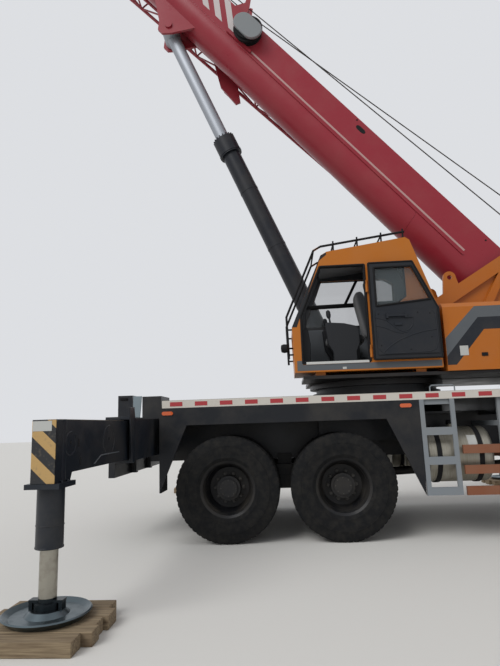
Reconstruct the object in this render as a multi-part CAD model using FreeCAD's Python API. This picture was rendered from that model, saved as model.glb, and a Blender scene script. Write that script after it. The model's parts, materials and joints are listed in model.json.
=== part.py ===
import FreeCAD, Part
import math
import os
from FreeCAD import Vector

# A four-axle truck crane, parked on its wheels with all outriggers out and its
# telescopic boom raised over the rear. Millimetres. +X is the carrier's forward
# direction, +Y its left side and +Z up. The ground is Z = 0. The shapes are laid out
# with X measured from the slewing axis and shifted by MODEL_SHIFT_X at export, so that
# the origin is the middle of the whole crane on the ground.

# Wheels and axles
TYRE_R = 613.0
TYRE_WIDTH = 315.0
RIM_R = 305.0
RIM_FLANGE_R = 338.0
RIM_WIDTH = 216.0
TWIN_PITCH = 350.0
TWIN_DISC_Y = 30.0
HUB_R = 140.0
NUT_CIRCLE_R = 167.5
NUT_R = 16.0
NUT_COUNT = 10
SPINDLE_R = 52.0
FIT_GAP = 0.3
STEER_AXLES_X = (5550.0, 4050.0)
DRIVE_AXLES_X = (-650.0, -2000.0)
FRONT_WHEEL_Y = 1150.0
REAR_WHEEL_Y = 1012.0
KINGPIN_Y = 905.0
KINGPIN_R = 28.0

# Carrier
CARRIER_HALF_WIDTH = 1375.0
DECK_TOP = 1662.0
DECK_THICK = 20.0
DECK_EDGE_HIGH = 89.0
DECK_REAR_X = -2757.0
DECK_FRONT_X = 5690.0
SKIN = 25.0
BOX_HALF_WIDTH = 430.0
BOX_BOTTOM = 900.0
BOX_TOP = 1440.0
BOX_WALL = 25.0
RAIL_Y = 430.0
RAIL_WIDTH = 85.0
BUMPER_X = 8150.0
LAMP_PROUD = 14.0

# Outriggers: stage 1 slides in a fixed box and carries stage 2, which carries the jack
OUTRIGGER_X = {
    ("rear", "right"): -2975.0,
    ("rear", "left"): -3290.0,
    ("front", "right"): 2860.0,
    ("front", "left"): 3175.0,
}
BOX_END_Y = 1000.0
SLIDE_GAP = 8.0
OUTRIGGER_WALL = 22.0
STAGE2_WIDTH = 175.0
STAGE2_BOTTOM = 1045.0
STAGE2_TOP = 1430.0
STAGE_WALL = 14.0
STAGE1_END_Y = 2270.0
STAGE1_TRAVEL = 1190.0
STAGE1_LENGTH = STAGE1_TRAVEL + 560.0
STAGE2_CAP_Y = 3950.0
STAGE2_TRAVEL = 1380.0
STAGE2_LENGTH = STAGE2_TRAVEL + 900.0
JACK_Y = 3810.0
JACK_TUBE_R = 95.0
JACK_TUBE_BOTTOM = 545.0
JACK_ROD_R = 62.0
JACK_TRAVEL = 300.0
PAD_R = 300.0
MAT_TOP = 90.0
PAD_BOTTOM = MAT_TOP + FIT_GAP

# Slewing ring and superstructure, which faces the carrier's rear
RING_R = 920.0
RING_TOP = 1800.0
TABLE_BOTTOM = 1800.0 + FIT_GAP
TABLE_TOP = 1910.0
PLATE_IN_Y = 400.0
PLATE_OUT_Y = 440.0
RIB_OUT_Y = 500.0
SHELF_TOP = 2270.0
TAIL_X = 4250.0

# Driver's cab
DRIVER_CAB_HALF = 1325.0
DRIVER_CAB_WALL = 50.0
CAB_BELLY_TOP = 880.0
DRIVER_HINGE = (7578.0, DRIVER_CAB_HALF + 12.0 + FIT_GAP)

# Operator's cab
CAB_NEAR_Y = -1310.0
CAB_FAR_Y = -520.0
CAB_WALL = 45.0
CAB_BOTTOM = 1945.0
OPERATOR_SEAT_X = -480.0
DOOR_HINGE_X = -232.0
DOOR_HINGE_Y = CAB_NEAR_Y - 17.3
DOOR_HINGE_Z = (2095.0, 2895.0)
DOOR_KNUCKLE_R = 16.0
DOOR_PIN_R = 9.0
DOOR_GAP = 6.0

# Boom, measured along and across from its foot pin
BOOM_ANGLE = 49.5
FOOT_PIN = (1950.0, 3330.0)
FOOT_PIN_R = 75.0
BOOM_WIDTH = 640.0
BOOM_HIGH = 770.0
BOOM_TOP_OVER_PIN = 146.0
SECTION_STEP = 30.0
SECTION_WALL = 14.0
SECTION_COUNT = 4
BASE_REAR = -330.0
SECTION_PROUD = 220.0
SECTION_TRAVEL = 8000.0
BASE_LENGTH = SECTION_TRAVEL + 3080.0
HEAD_SHEAVE_R = 200.0

# Lift cylinder
LIFT_FOOT = (-575.0, 2250.0)
LIFT_EYE_ALONG = 6550.0
LIFT_EYE_BELOW = 800.0
LIFT_BARREL_R = 141.0
LIFT_ROD_R = 104.0
LIFT_GLAND_R = 175.0
LIFT_GLAND_LONG = 290.0
LIFT_BARREL_LENGTH = 3860.0
LIFT_ROD_LENGTH = 3830.0
LIFT_EYE_R = 138.0
LIFT_PIN_R = 60.0


def on_boom(along, below):
    """The point (x, z) that lies along the raised boom and below its foot pin's line."""
    a = math.radians(BOOM_ANGLE)
    return (
        FOOT_PIN[0] - along * math.cos(a) - below * math.sin(a),
        FOOT_PIN[1] + along * math.sin(a) - below * math.cos(a),
    )


# Boom head, and the crane's middle in X from its foremost and rearmost points
HEAD_FRONT = BASE_REAR + BASE_LENGTH + (SECTION_COUNT - 1) * SECTION_PROUD
HEAD_SHEAVE_ALONG = HEAD_FRONT + 470.0
HEAD_SHEAVE_BELOW = 640.0
HEAD_SHEAVE = on_boom(HEAD_SHEAVE_ALONG, HEAD_SHEAVE_BELOW)
HEAD_PLATE_R = 245.0
HEAD_SHAFT_R = 50.0
HOOK_PIN = HEAD_SHEAVE
HOOK_DROP = 1900.0
MODEL_SHIFT_X = -(BUMPER_X + LAMP_PROUD + HEAD_SHEAVE[0] - HEAD_PLATE_R) / 2


# Plain shapes

def block(x0, x1, y0, y1, z0, z1):
    return Part.makeBox(x1 - x0, y1 - y0, z1 - z0, Vector(x0, y0, z0))


def prism(points, make_vector, run):
    wire = Part.makePolygon([make_vector(*p) for p in points + points[:1]])
    return Part.Face(wire).extrude(run)


def plate_xz(points, y0, y1):
    return prism(points, lambda x, z: Vector(x, y0, z), Vector(0, y1 - y0, 0))


def plate_xy(points, z0, z1):
    return prism(points, lambda x, y: Vector(x, y, z0), Vector(0, 0, z1 - z0))


def plate_yz(points, x0, x1):
    return prism(points, lambda y, z: Vector(x0, y, z), Vector(x1 - x0, 0, 0))


def rod(start, end, radius):
    a, b = Vector(*start), Vector(*end)
    return Part.makeCylinder(radius, (b - a).Length, a, b - a)


def pipe(start, end, outer, inner):
    return rod(start, end, outer).cut(rod(start, end, inner))


def turned_y(profile, x, z):
    """Turns an outline of (radius, y) points about the line along Y through x and z."""
    wire = Part.makePolygon([Vector(r, y, 0) for r, y in profile + profile[:1]])
    solid = Part.Face(wire).revolve(Vector(0, 0, 0), Vector(0, 1, 0), 360)
    solid.translate(Vector(x, 0, z))
    return solid


def mirrored(shape):
    return shape.mirror(Vector(0, 0, 0), Vector(0, 1, 0))


def fused(shapes):
    whole = shapes[0]
    if len(shapes) > 1:
        whole = shapes[0].fuse(shapes[1:])
    return whole.removeSplitter()


def side_sign(side):
    return -1 if side == "right" else 1


# Wheels

def tyre(x, y):
    half = TYRE_WIDTH / 2
    bead = RIM_R + 6
    belt_y = half - 35
    outer = [
        Part.LineSegment(Vector(bead, -95, 0), Vector(bead, -RIM_WIDTH / 2 + 4, 0)),
        Part.Arc(Vector(bead, -RIM_WIDTH / 2 + 4, 0), Vector(455, -half, 0),
                 Vector(TYRE_R - 26, -belt_y - 14, 0)),
        Part.Arc(Vector(TYRE_R - 26, -belt_y - 14, 0), Vector(TYRE_R - 7, -belt_y - 4, 0),
                 Vector(TYRE_R, -belt_y + 12, 0)),
        Part.LineSegment(Vector(TYRE_R, -belt_y + 12, 0), Vector(TYRE_R, belt_y - 12, 0)),
        Part.Arc(Vector(TYRE_R, belt_y - 12, 0), Vector(TYRE_R - 7, belt_y + 4, 0),
                 Vector(TYRE_R - 26, belt_y + 14, 0)),
        Part.Arc(Vector(TYRE_R - 26, belt_y + 14, 0), Vector(455, half, 0), Vector(bead, RIM_WIDTH / 2 - 4,
                                                                                   0)),
        Part.LineSegment(Vector(bead, RIM_WIDTH / 2 - 4, 0), Vector(bead, 95, 0)),
        Part.Arc(Vector(bead, 95, 0), Vector(455, half - 32, 0), Vector(TYRE_R - 38, 90, 0)),
        Part.LineSegment(Vector(TYRE_R - 38, 90, 0), Vector(TYRE_R - 38, -90, 0)),
        Part.Arc(Vector(TYRE_R - 38, -90, 0), Vector(455, -half + 32, 0), Vector(bead, -95, 0)),
    ]
    wire = Part.Wire([e.toShape() for e in outer])
    solid = Part.Face(wire).revolve(Vector(0, 0, 0), Vector(0, 1, 0), 360)
    seat_r, lip_r, w = RIM_R + 5 + FIT_GAP, RIM_FLANGE_R + FIT_GAP, RIM_WIDTH / 2 - 0.4
    lips = [turned_y([(RIM_R, e * w), (seat_r, e * w), (lip_r, e * (w + 12)), (lip_r, e * (w + 60)),
                      (RIM_R, e * (w + 60))], 0, 0) for e in (-1, 1)]
    solid = solid.cut(Part.Compound(lips))
    solid.translate(Vector(x, y, TYRE_R))
    return solid


def rim_profile(disc_in, disc_out):
    """Outline (radius, y) of a rim about its middle; its disc's hub face lies between the two y."""
    w = RIM_WIDTH / 2
    web = 30 if disc_in > 0 else -30
    if disc_in < -RIM_WIDTH / 2:
        web = -w + 56
    return [
        (RIM_FLANGE_R, -w - 12), (RIM_R + 5, -w), (RIM_R + 5, -w + 40), (RIM_R - 18, -w + 60),
        (RIM_R - 18, w - 60), (RIM_R + 5, w - 40), (RIM_R + 5, w), (RIM_FLANGE_R, w + 12),
        (RIM_FLANGE_R - 14, w + 12), (RIM_R - 9, w - 8), (RIM_R - 30, w - 55), (RIM_R - 30, web + 9),
        (235, disc_out), (HUB_R - 20, disc_out), (HUB_R - 20, disc_in), (235, disc_in),
        (RIM_R - 30, web - 9), (RIM_R - 30, -w + 47), (RIM_R - 9, -w + 8), (RIM_FLANGE_R - 14, -w - 12),
    ]


def wheel_nuts(x, y):
    nuts = []
    for k in range(NUT_COUNT):
        a = 2 * math.pi * k / NUT_COUNT
        nx, nz = x + NUT_CIRCLE_R * math.cos(a), TYRE_R + NUT_CIRCLE_R * math.sin(a)
        nuts.append(rod((nx, y - 2, nz), (nx, y + 34, nz), NUT_R))
    return nuts


def front_rim(x):
    """Left front rim with its disc near the outer edge, hub and brake drum."""
    y = FRONT_WHEEL_Y
    rim = turned_y(rim_profile(40, 56), x, TYRE_R)
    rim.translate(Vector(0, y, 0))
    hub = rod((x, y - 75, TYRE_R), (x, y + 125, TYRE_R), HUB_R - 18)
    drum = rod((x, y - 75, TYRE_R), (x, y + 30, TYRE_R), 205)
    solid = fused([rim, drum, hub] + wheel_nuts(x, y + 56))
    return solid.cut(rod((x, y - 80, TYRE_R), (x, y + 70, TYRE_R), SPINDLE_R + FIT_GAP))


def rear_rims(x):
    """Both rims of a left twin wheel, disc to disc, on one hub with its brake drum and hub cap."""
    mid, half = REAR_WHEEL_Y, TWIN_PITCH / 2
    outer = turned_y(rim_profile(TWIN_DISC_Y - half, TWIN_DISC_Y + 18 - half), x, TYRE_R)
    outer.translate(Vector(0, mid + half, 0))
    inner = turned_y(rim_profile(TWIN_DISC_Y - 18 + half, TWIN_DISC_Y + half), x, TYRE_R)
    inner.translate(Vector(0, mid - half, 0))
    hub = rod((x, mid - 230, TYRE_R), (x, mid + 175, TYRE_R), HUB_R)
    cap = rod((x, mid + 175, TYRE_R), (x, mid + 200, TYRE_R), HUB_R - 35)
    drum = rod((x, mid - 230, TYRE_R), (x, mid + TWIN_DISC_Y - 18, TYRE_R), 205)
    solid = fused([outer, inner, hub, cap, drum] + wheel_nuts(x, mid + TWIN_DISC_Y + 18))
    return solid.cut(rod((x, mid - 240, TYRE_R), (x, mid + 120, TYRE_R), SPINDLE_R + FIT_GAP))


def twin_tyres(x):
    return Part.Compound([tyre(x, REAR_WHEEL_Y + e * TWIN_PITCH / 2) for e in (-1, 1)])


def knuckle(x):
    """Left steering knuckle: a fork over the axle's end with its kingpin, and the wheel's spindle."""
    y = KINGPIN_Y
    arms = [block(x - 60, x + 60, y - 55, y + 105, z, z + 34) for z in (TYRE_R - 124, TYRE_R + 90)]
    back = block(x - 75, x + 75, y + 72, y + 105, TYRE_R - 124, TYRE_R + 124)
    pin = rod((x, y, TYRE_R - 140), (x, y, TYRE_R + 140), KINGPIN_R)
    spindle = rod((x, y + 100, TYRE_R), (x, FRONT_WHEEL_Y + 60, TYRE_R), SPINDLE_R)
    steer_arm = block(x - 200, x - 20, y - 22, y + 22, TYRE_R - 124, TYRE_R - 100)
    return fused(arms + [back, pin, spindle, steer_arm])


# Carrier

def front_axle(x):
    beam = block(x - 50, x + 50, -KINGPIN_Y, KINGPIN_Y, TYRE_R - 60, TYRE_R + 40)
    web_cut = [block(x + 14 * k, x + 60 * k, -KINGPIN_Y + 110, KINGPIN_Y - 110, TYRE_R - 35, TYRE_R + 15)
               if k > 0 else block(x - 60, x - 14, -KINGPIN_Y + 110, KINGPIN_Y - 110, TYRE_R - 35,
                                   TYRE_R + 15)
               for k in (-1, 1)]
    beam = beam.cut(Part.Compound(web_cut))
    ends = [rod((x, s * KINGPIN_Y, TYRE_R - 85), (x, s * KINGPIN_Y, TYRE_R + 85), 52) for s in (-1, 1)]
    bores = [rod((x, s * KINGPIN_Y, TYRE_R - 90), (x, s * KINGPIN_Y, TYRE_R + 90), KINGPIN_R + FIT_GAP)
             for s in (-1, 1)]
    return fused([beam] + ends).cut(Part.Compound(bores))


def leaf_spring(x, y, z, length, leaves):
    """A stack of shortening leaves, drawn straight."""
    stack = []
    step = (length / 2 - 130) / leaves
    for k in range(leaves):
        half = length / 2 - step * k
        stack.append(block(x - half, x + half, y - 45, y + 45, z - 16 * (k + 1), z - 16 * k))
    return stack


def front_axle_set(x):
    parts = [front_axle(x)]
    for s in (-1, 1):
        spring_z = BOX_BOTTOM - 80
        parts += leaf_spring(x, s * 430, spring_z, 1240, 8)
        parts.append(block(x - 60, x + 60, s * 430 - 55, s * 430 + 55, TYRE_R + 40, spring_z - 128 + 2))
        for e in (-1, 1):
            parts.append(block(x + e * 570 - 35, x + e * 570 + 35, s * 430 - 42, s * 430 + 42, spring_z,
                               BOX_BOTTOM))
    return fused(parts)


def drive_axle(x):
    """A drive axle: its tube, round differential case and the spindle ends in the hubs."""
    end = REAR_WHEEL_Y - 245
    tube = rod((x, -end, TYRE_R), (x, end, TYRE_R), 82)
    case = Part.makeSphere(215, Vector(x, 0, TYRE_R))
    case = case.common(block(x - 200, x + 200, -150, 150, TYRE_R - 215, TYRE_R + 215))
    nose = Part.makeCone(130, 70, 210, Vector(x + 130, 0, TYRE_R + 20), Vector(1, 0, 0))
    spindles = [rod((x, s * (end - 5), TYRE_R), (x, s * (REAR_WHEEL_Y + 110), TYRE_R), SPINDLE_R)
                for s in (-1, 1)]
    return fused([tube, case, nose] + spindles)


def bogie_springs():
    """Springs that rock on a cross tube between the two drive axles, one pack each side."""
    x_mid = sum(DRIVE_AXLES_X) / 2
    z_top = TYRE_R + 220
    parts = []
    for s in (-1, 1):
        stack = leaf_spring(x_mid, s * 560, z_top, 1420, 9)
        saddle = block(x_mid - 90, x_mid + 90, s * 560 - 60, s * 560 + 60, z_top - 300, z_top - 144)
        seats = [block(x - 70, x + 70, s * 560 - 55, s * 560 + 55, TYRE_R + 60, z_top - 32)
                 for x in DRIVE_AXLES_X]
        hanger = block(x_mid - 90, x_mid + 90, min(s * 430, s * 500), max(s * 430, s * 500), z_top - 300,
                       BOX_BOTTOM + 60)
        parts += stack + [saddle, hanger] + seats
    parts.append(rod((x_mid, -620, z_top - 240), (x_mid, 620, z_top - 240), 60))
    return parts


def driveline():
    """Axles, springs, shafts, gearbox and the engine as a plain block."""
    shaft_z = TYRE_R + 20
    rear = [drive_axle(x) for x in DRIVE_AXLES_X] + bogie_springs()
    rear.append(rod((DRIVE_AXLES_X[1] + 335, 0, shaft_z), (DRIVE_AXLES_X[0] - 205, 0, shaft_z), 50))
    rear.append(rod((DRIVE_AXLES_X[0] + 335, 0, shaft_z), (2300, 0, 740), 55))
    gearbox = block(2300, 2700, -170, 170, 560, 900)
    front_shaft = rod((2700, 0, 760), (4600, 0, 986), 55)
    engine = block(4580, 5500, -330, 330, 870, 1560)
    mount_y = RAIL_Y - RAIL_WIDTH / 2 - FIT_GAP
    mounts = [block(x, x + 100, *sorted((s * 330, s * mount_y)), 900, 1000) for x in (4650, 5300)
              for s in (-1, 1)]
    return Part.Compound([fused(rear + [gearbox, front_shaft, engine] + mounts)] + [front_axle_set(x)
                                                                                    for x in STEER_AXLES_X])


def outrigger_tunnel(x):
    """Room for a stage 1 beam in the fixed box, wider than the beam by the slide gap."""
    half = STAGE2_WIDTH / 2 + STAGE_WALL + SLIDE_GAP
    low, high = stage1_heights()
    return block(x - half - SLIDE_GAP, x + half + SLIDE_GAP, -BOX_END_Y - 5, BOX_END_Y + 5, low - SLIDE_GAP,
                 high + SLIDE_GAP)


def stage1_heights():
    clear = STAGE_WALL + SLIDE_GAP
    return STAGE2_BOTTOM - clear, STAGE2_TOP + clear


def outrigger_box(end):
    """The cross box at one end of the carrier, with two tunnels side by side and slide pads."""
    xs = [OUTRIGGER_X[(end, side)] for side in ("right", "left")]
    low, high = stage1_heights()
    wall = OUTRIGGER_WALL
    half = STAGE2_WIDTH / 2 + STAGE_WALL + 2 * SLIDE_GAP
    outer = block(min(xs) - half - wall, max(xs) + half + wall, -BOX_END_Y, BOX_END_Y,
                  low - SLIDE_GAP - wall, high + SLIDE_GAP + wall)
    box = outer.cut(Part.Compound([outrigger_tunnel(x) for x in xs]))
    pads = []
    for x, side in zip(xs, ("right", "left")):
        s = side_sign(side)
        y0, y1 = sorted((s * BOX_END_Y, s * (BOX_END_Y - 120)))
        pads.append(block(x - 90, x + 90, y0, y1, low - SLIDE_GAP - 1, low - FIT_GAP))
        y0, y1 = sorted((s * (BOX_END_Y - 420), s * (BOX_END_Y - 560)))
        pads.append(block(x - 90, x + 90, y0, y1, high + FIT_GAP, high + SLIDE_GAP + 1))
    return fused([box] + pads)


def chassis_frame():
    """A torsion box between the outriggers, rails forward of it, and the ring's pedestal."""
    rear_x, front_x = OUTRIGGER_X[("rear", "left")] + 150, OUTRIGGER_X[("front", "right")] - 100
    box = block(rear_x, front_x, -BOX_HALF_WIDTH, BOX_HALF_WIDTH, BOX_BOTTOM, BOX_TOP)
    hollow = block(rear_x + 400, front_x - 60, -BOX_HALF_WIDTH + BOX_WALL, BOX_HALF_WIDTH - BOX_WALL,
                   BOX_BOTTOM + BOX_WALL, BOX_TOP - BOX_WALL)
    box = box.cut(hollow)
    ring_out = rod((0, 0, BOX_TOP - 10), (0, 0, RING_TOP - 60), RING_R - 40)
    ring_low = rod((0, 0, RING_TOP - 60), (0, 0, RING_TOP), RING_R - 90)
    bore = rod((0, 0, BOX_TOP - 20), (0, 0, RING_TOP + 5), RING_R - 170)
    pedestal = fused([ring_out, ring_low]).cut(bore)
    gussets = [block(-RING_R + 60, RING_R - 60, s * 600 - 12, s * 600 + 12, 1100, BOX_TOP) for s in (-1, 1)]
    floor = block(-RING_R + 40, RING_R - 40, -RING_R + 40, RING_R - 40, BOX_TOP - 25, BOX_TOP)
    rails = []
    for s in (-1, 1):
        y0, y1 = sorted((s * (RAIL_Y - RAIL_WIDTH / 2), s * (RAIL_Y + RAIL_WIDTH / 2)))
        rails.append(block(OUTRIGGER_X[("front", "left")] + 100, 6400, y0, y1, BOX_BOTTOM,
                           BOX_BOTTOM + 290))
        rail_top = CAB_BELLY_TOP - FIT_GAP
        rails.append(plate_xz([(6240, 640), (BUMPER_X - 250, 640), (BUMPER_X - 250, rail_top),
                               (6400, rail_top), (6400, 930),
                               (6240, 930)], y0, y1))
    crosses = [block(x, x + 80, -RAIL_Y, RAIL_Y, BOX_BOTTOM + 150, BOX_BOTTOM + 270) for x in (4400, 5640)]
    crosses += [block(x, x + 80, -RAIL_Y, RAIL_Y, 680, 800) for x in (6600, 7500)]
    posts = deck_posts()
    solid = fused([box, pedestal, floor, outrigger_box("rear"), outrigger_box("front")] + gussets + rails
                  + crosses + posts)
    tunnels = [outrigger_tunnel(x) for x in OUTRIGGER_X.values()]
    return refit_pads(solid.cut(Part.Compound(tunnels)))


def refit_pads(frame):
    """The tunnels run through the frame's own members, so the slide pads are set again."""
    low, high = stage1_heights()
    pads = []
    for (end, side), x in OUTRIGGER_X.items():
        s = side_sign(side)
        y0, y1 = sorted((s * BOX_END_Y, s * (BOX_END_Y - 120)))
        pads.append(block(x - 90, x + 90, y0, y1, low - SLIDE_GAP - 1, low - FIT_GAP))
        y0, y1 = sorted((s * (BOX_END_Y - 420), s * (BOX_END_Y - 560)))
        pads.append(block(x - 90, x + 90, y0, y1, high + FIT_GAP, high + SLIDE_GAP + 1))
    return fused([frame] + pads)


def deck_posts():
    """Cross members that carry the deck on the box and rails."""
    posts = []
    for x in (-2700, -1330, 1250, 2500):
        posts.append(block(x, x + 60, -1300, 1300, BOX_TOP - 60, DECK_TOP - DECK_THICK))
    for x in (3520, 4500):
        posts.append(block(x, x + 60, -1300, 1300, 1380, DECK_TOP - DECK_THICK))
        for s in (-1, 1):
            posts.append(block(x, x + 60, s * RAIL_Y - 40, s * RAIL_Y + 40, BOX_BOTTOM + 280, 1390))
    return posts


def skirt_outline():
    """Rear side panel (x, z) with its wheel arch cut out."""
    low = DECK_TOP - DECK_EDGE_HIGH
    return [(-2790, low), (-2790, 595), (-2463, 1365), (-125, 1367), (258, 508), (258, low)]


def deck():
    """Deck plate with its edge rails, rear side panels, front fascia, engine cover and boom rest."""
    w = CARRIER_HALF_WIDTH
    plate = block(DECK_REAR_X, DECK_FRONT_X, -w, w, DECK_TOP - DECK_THICK, DECK_TOP)
    plate = plate.cut(rod((0, 0, DECK_TOP - 40), (0, 0, DECK_TOP + 10), RING_R + 30))
    parts = [plate]
    for s in (-1, 1):
        y0, y1 = sorted((s * w, s * (w - SKIN)))
        parts.append(block(DECK_REAR_X, DECK_FRONT_X, y0, y1, DECK_TOP - DECK_EDGE_HIGH, DECK_TOP))
        parts.append(plate_xz(skirt_outline(), y0, y1))
        parts.append(block(-2790, -2770, *sorted((s * w, s * (w - 330))), 595, DECK_TOP - DECK_EDGE_HIGH))
        parts.append(plate_xz([(3480, 1573), (3480, 1180), (3560, 1180), (3700, 1330), (4400, 1330),
                               (4560, 1180),
                               (5020, 1180), (5180, 1330), (5690, 1330), (5690, 1573)], y0, y1))
    parts.append(engine_cover())
    parts.append(boom_rest())
    return fused(parts)


def engine_cover():
    x0, x1, half, top = 4660, 5540, 620, 2180
    outer = plate_yz([(-half, DECK_TOP), (half, DECK_TOP), (half, top - 80), (half - 80, top),
                      (-half + 80, top), (-half, top - 80)], x0, x1)
    inner = plate_yz([(-half + 25, DECK_TOP - 30), (half - 25, DECK_TOP - 30), (half - 25, top - 92),
                      (half - 92, top - 25), (-half + 92, top - 25), (-half + 25, top - 92)], x0 + 25,
                     x1 - 25)
    cover = outer.cut(inner)
    slots = [block(x0 + 120, x1 - 120, -half - 10, half + 10, z, z + 22) for z in range(1800, 2040, 52)]
    return cover.cut(Part.Compound(slots))


def boom_rest():
    """A frame behind the driver's cab with the saddle that the lowered boom lies on."""
    x0, x1 = 5570, 5650
    boom_bottom = FOOT_PIN[1] + BOOM_TOP_OVER_PIN - BOOM_HIGH
    top = boom_bottom - 12
    posts = [block(x0, x1, s * 420 - 45, s * 420 + 45, DECK_TOP, top - 120) for s in (-1, 1)]
    beam = block(x0 - 20, x1 + 20, -560, 560, top - 190, top - 120)
    saddle = block(x0 - 20, x1 + 20, -200, 200, top - 120, top)
    brace = plate_yz([(-420, 1700), (-370, 1700), (420, top - 260), (420, top - 190), (370, top - 190),
                      (-420, 1770)], x0 + 20, x1 - 20)
    return fused(posts + [beam, saddle, brace])


def cab_front_outline(inset):
    """Side outline (x, z) of the driver's cab, moved inwards by inset."""
    i = inset
    return [
        (5780 + i, 1340 + i), (6330 + i, 1340 + i), (6450 + i, 1120 + i), (6450 + i, 430 + i),
        (BUMPER_X - 60 - i, 430 + i), (BUMPER_X - i, 560 + i), (BUMPER_X - i, 1050),
        (BUMPER_X - 40 - i, 1560),
        (BUMPER_X - 330 - i, 2480 - i), (BUMPER_X - 450 - i, 2590 - i), (5860 + i, 2590 - i),
        (5780 + i, 2520 - i),
    ]


def driver_door_outline(grow):
    g = grow
    return [(6560 - g, 760 - g), (7560 + g, 760 - g), (7560 + g, 1600), (7420 + g, 2450 + g),
            (6560 - g, 2450 + g)]


def driver_window_outline():
    return [(6650, 1640), (7480, 1640), (7370, 2370), (6650, 2370)]


def driver_cab():
    """Full-width cab shell with its windscreen, door and rear window openings, and steps below the doors."""
    half, wall = DRIVER_CAB_HALF, DRIVER_CAB_WALL
    outer = plate_xz(cab_front_outline(0), -half, half)
    inner = plate_xz([
        (5780 + wall, 1340 + wall), (6360 + wall, 1340 + wall), (6470 + wall, 1130 + wall),
        (6470 + wall, 940),
        (BUMPER_X - 120, 940), (BUMPER_X - 60, 1080), (BUMPER_X - 100, 1560), (BUMPER_X - 390, 2470),
        (BUMPER_X - 470, 2590 - wall), (5880, 2590 - wall), (5780 + wall, 2500)], -half + wall, half - wall)
    shell = outer.cut(inner)
    screen = plate_yz([(-1180, 1660), (1180, 1660), (1120, 2440), (-1120, 2440)], BUMPER_X - 480,
                      BUMPER_X + 20)
    rear = plate_yz([(-900, 1900), (900, 1900), (860, 2380), (-860, 2380)], 5760, 5850)
    doors = plate_xz(driver_door_outline(DOOR_GAP), -half - 10, half + 10)
    door_cut = doors.cut(block(5700, BUMPER_X, -half + wall, half - wall, 400, 2700))
    wheel_room = [block(6400, 7700, *sorted((s * half, s * (half - 260))), 425, 700) for s in (-1, 1)]
    belly = block(6440, 7900, -800, 800, 420, CAB_BELLY_TOP)
    shell = shell.cut(Part.Compound([screen, rear, door_cut, belly] + wheel_room))
    treads = [block(6560, 7560, *sorted((s * half, s * (half - 250))), z, z + 30) for s in (-1, 1)
              for z in (520,)]
    hangers = [block(x, x + 40, *sorted((s * (half - 30), s * (half - 240))), 520, 705) for s in (-1, 1)
               for x in (6600, 7480)]
    bumper = plate_xz([(BUMPER_X - 170, 470), (BUMPER_X - 60, 430), (BUMPER_X, 560), (BUMPER_X, 900),
                       (BUMPER_X - 170, 900)],
                      -half - 30, half + 30)
    return fused([shell, bumper] + treads + hangers)


def driver_door():
    """Left door of the driver's cab, hung on its front edge."""
    face = DRIVER_CAB_HALF
    panel = plate_xz(driver_door_outline(0), face - DRIVER_CAB_WALL, face)
    window = plate_xz(driver_window_outline(), face - DRIVER_CAB_WALL - 5, face + 5)
    handle = block(6640, 6820, face, face + 22, 1440, 1475)
    hinge_x, hinge_y = DRIVER_HINGE
    pin = rod((hinge_x, hinge_y, 900), (hinge_x, hinge_y, 1400), 12)
    seat_pad = block(hinge_x - 80, hinge_x - 22, face - 2, face + 10, 900, 1400)
    arm = block(hinge_x - 30, hinge_x, face + 2, face + 10, 900, 1400)
    return fused([panel.cut(window), handle, pin, seat_pad, arm])


def driver_glass():
    """Windscreen and rear window, each as a pane seated in its opening."""
    slope_low, slope_high = (BUMPER_X - 76, 1660), (BUMPER_X - 320, 2440)
    dx = 12
    screen = plate_xz([(slope_low[0], 1660), (slope_low[0] + dx, 1660), (slope_high[0] + dx, 2440),
                       (slope_high[0], 2440)], -1180, 1180)
    trim = plate_yz([(-1180, 1660), (1180, 1660), (1120, 2440), (-1120, 2440)], BUMPER_X - 480,
                    BUMPER_X + 20)
    rear = plate_yz([(-900, 1900), (900, 1900), (860, 2380), (-860, 2380)], 5798, 5810)
    return Part.Compound([screen.common(trim), rear])


def seat(x, y, z, facing):
    """Cushion, back and pedestal; facing is the sign of X that the seat looks to."""
    f = facing
    x0, x1 = sorted((x - 230 * f, x + 250 * f))
    cushion = block(x0, x1, y - 230, y + 230, z + 300, z + 410)
    back = plate_xz([(x - 150 * f, z + 400), (x - 270 * f, z + 1000), (x - 360 * f, z + 990),
                     (x - 245 * f, z + 380)], y - 220, y + 220)
    rest = plate_xz([(x - 272 * f, z + 990), (x - 300 * f, z + 1160), (x - 370 * f, z + 1150),
                     (x - 340 * f, z + 985)], y - 120, y + 120)
    base = block(x - 150, x + 150, y - 150, y + 150, z, z + 305)
    return fused([cushion, back, rest, base])


def driver_interior():
    """Two seats, the dashboard, the steering wheel and its column."""
    floor = 940
    parts = [seat(6900, y, floor, 1) for y in (-720, 720)]
    dash = plate_xz([(7560, 1300), (7500, 1500), (7560, 1620), (7900, 1640), (7960, 1560), (7960, 1300)],
                    -1200, 1200)
    foot = block(7700, 7960, -1200, 1200, floor, 1305)
    column = rod((7640, 720, 1480), (7420, 720, 1720), 35)
    ring = Part.makeTorus(215, 18, Vector(7420, 720, 1720), Vector(-220, 0, 240))
    spokes = [rod((7420, 720 - 210, 1720), (7420, 720 + 210, 1720), 14)]
    return Part.Compound(parts + [fused([dash, foot, column, ring] + spokes)])


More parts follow.
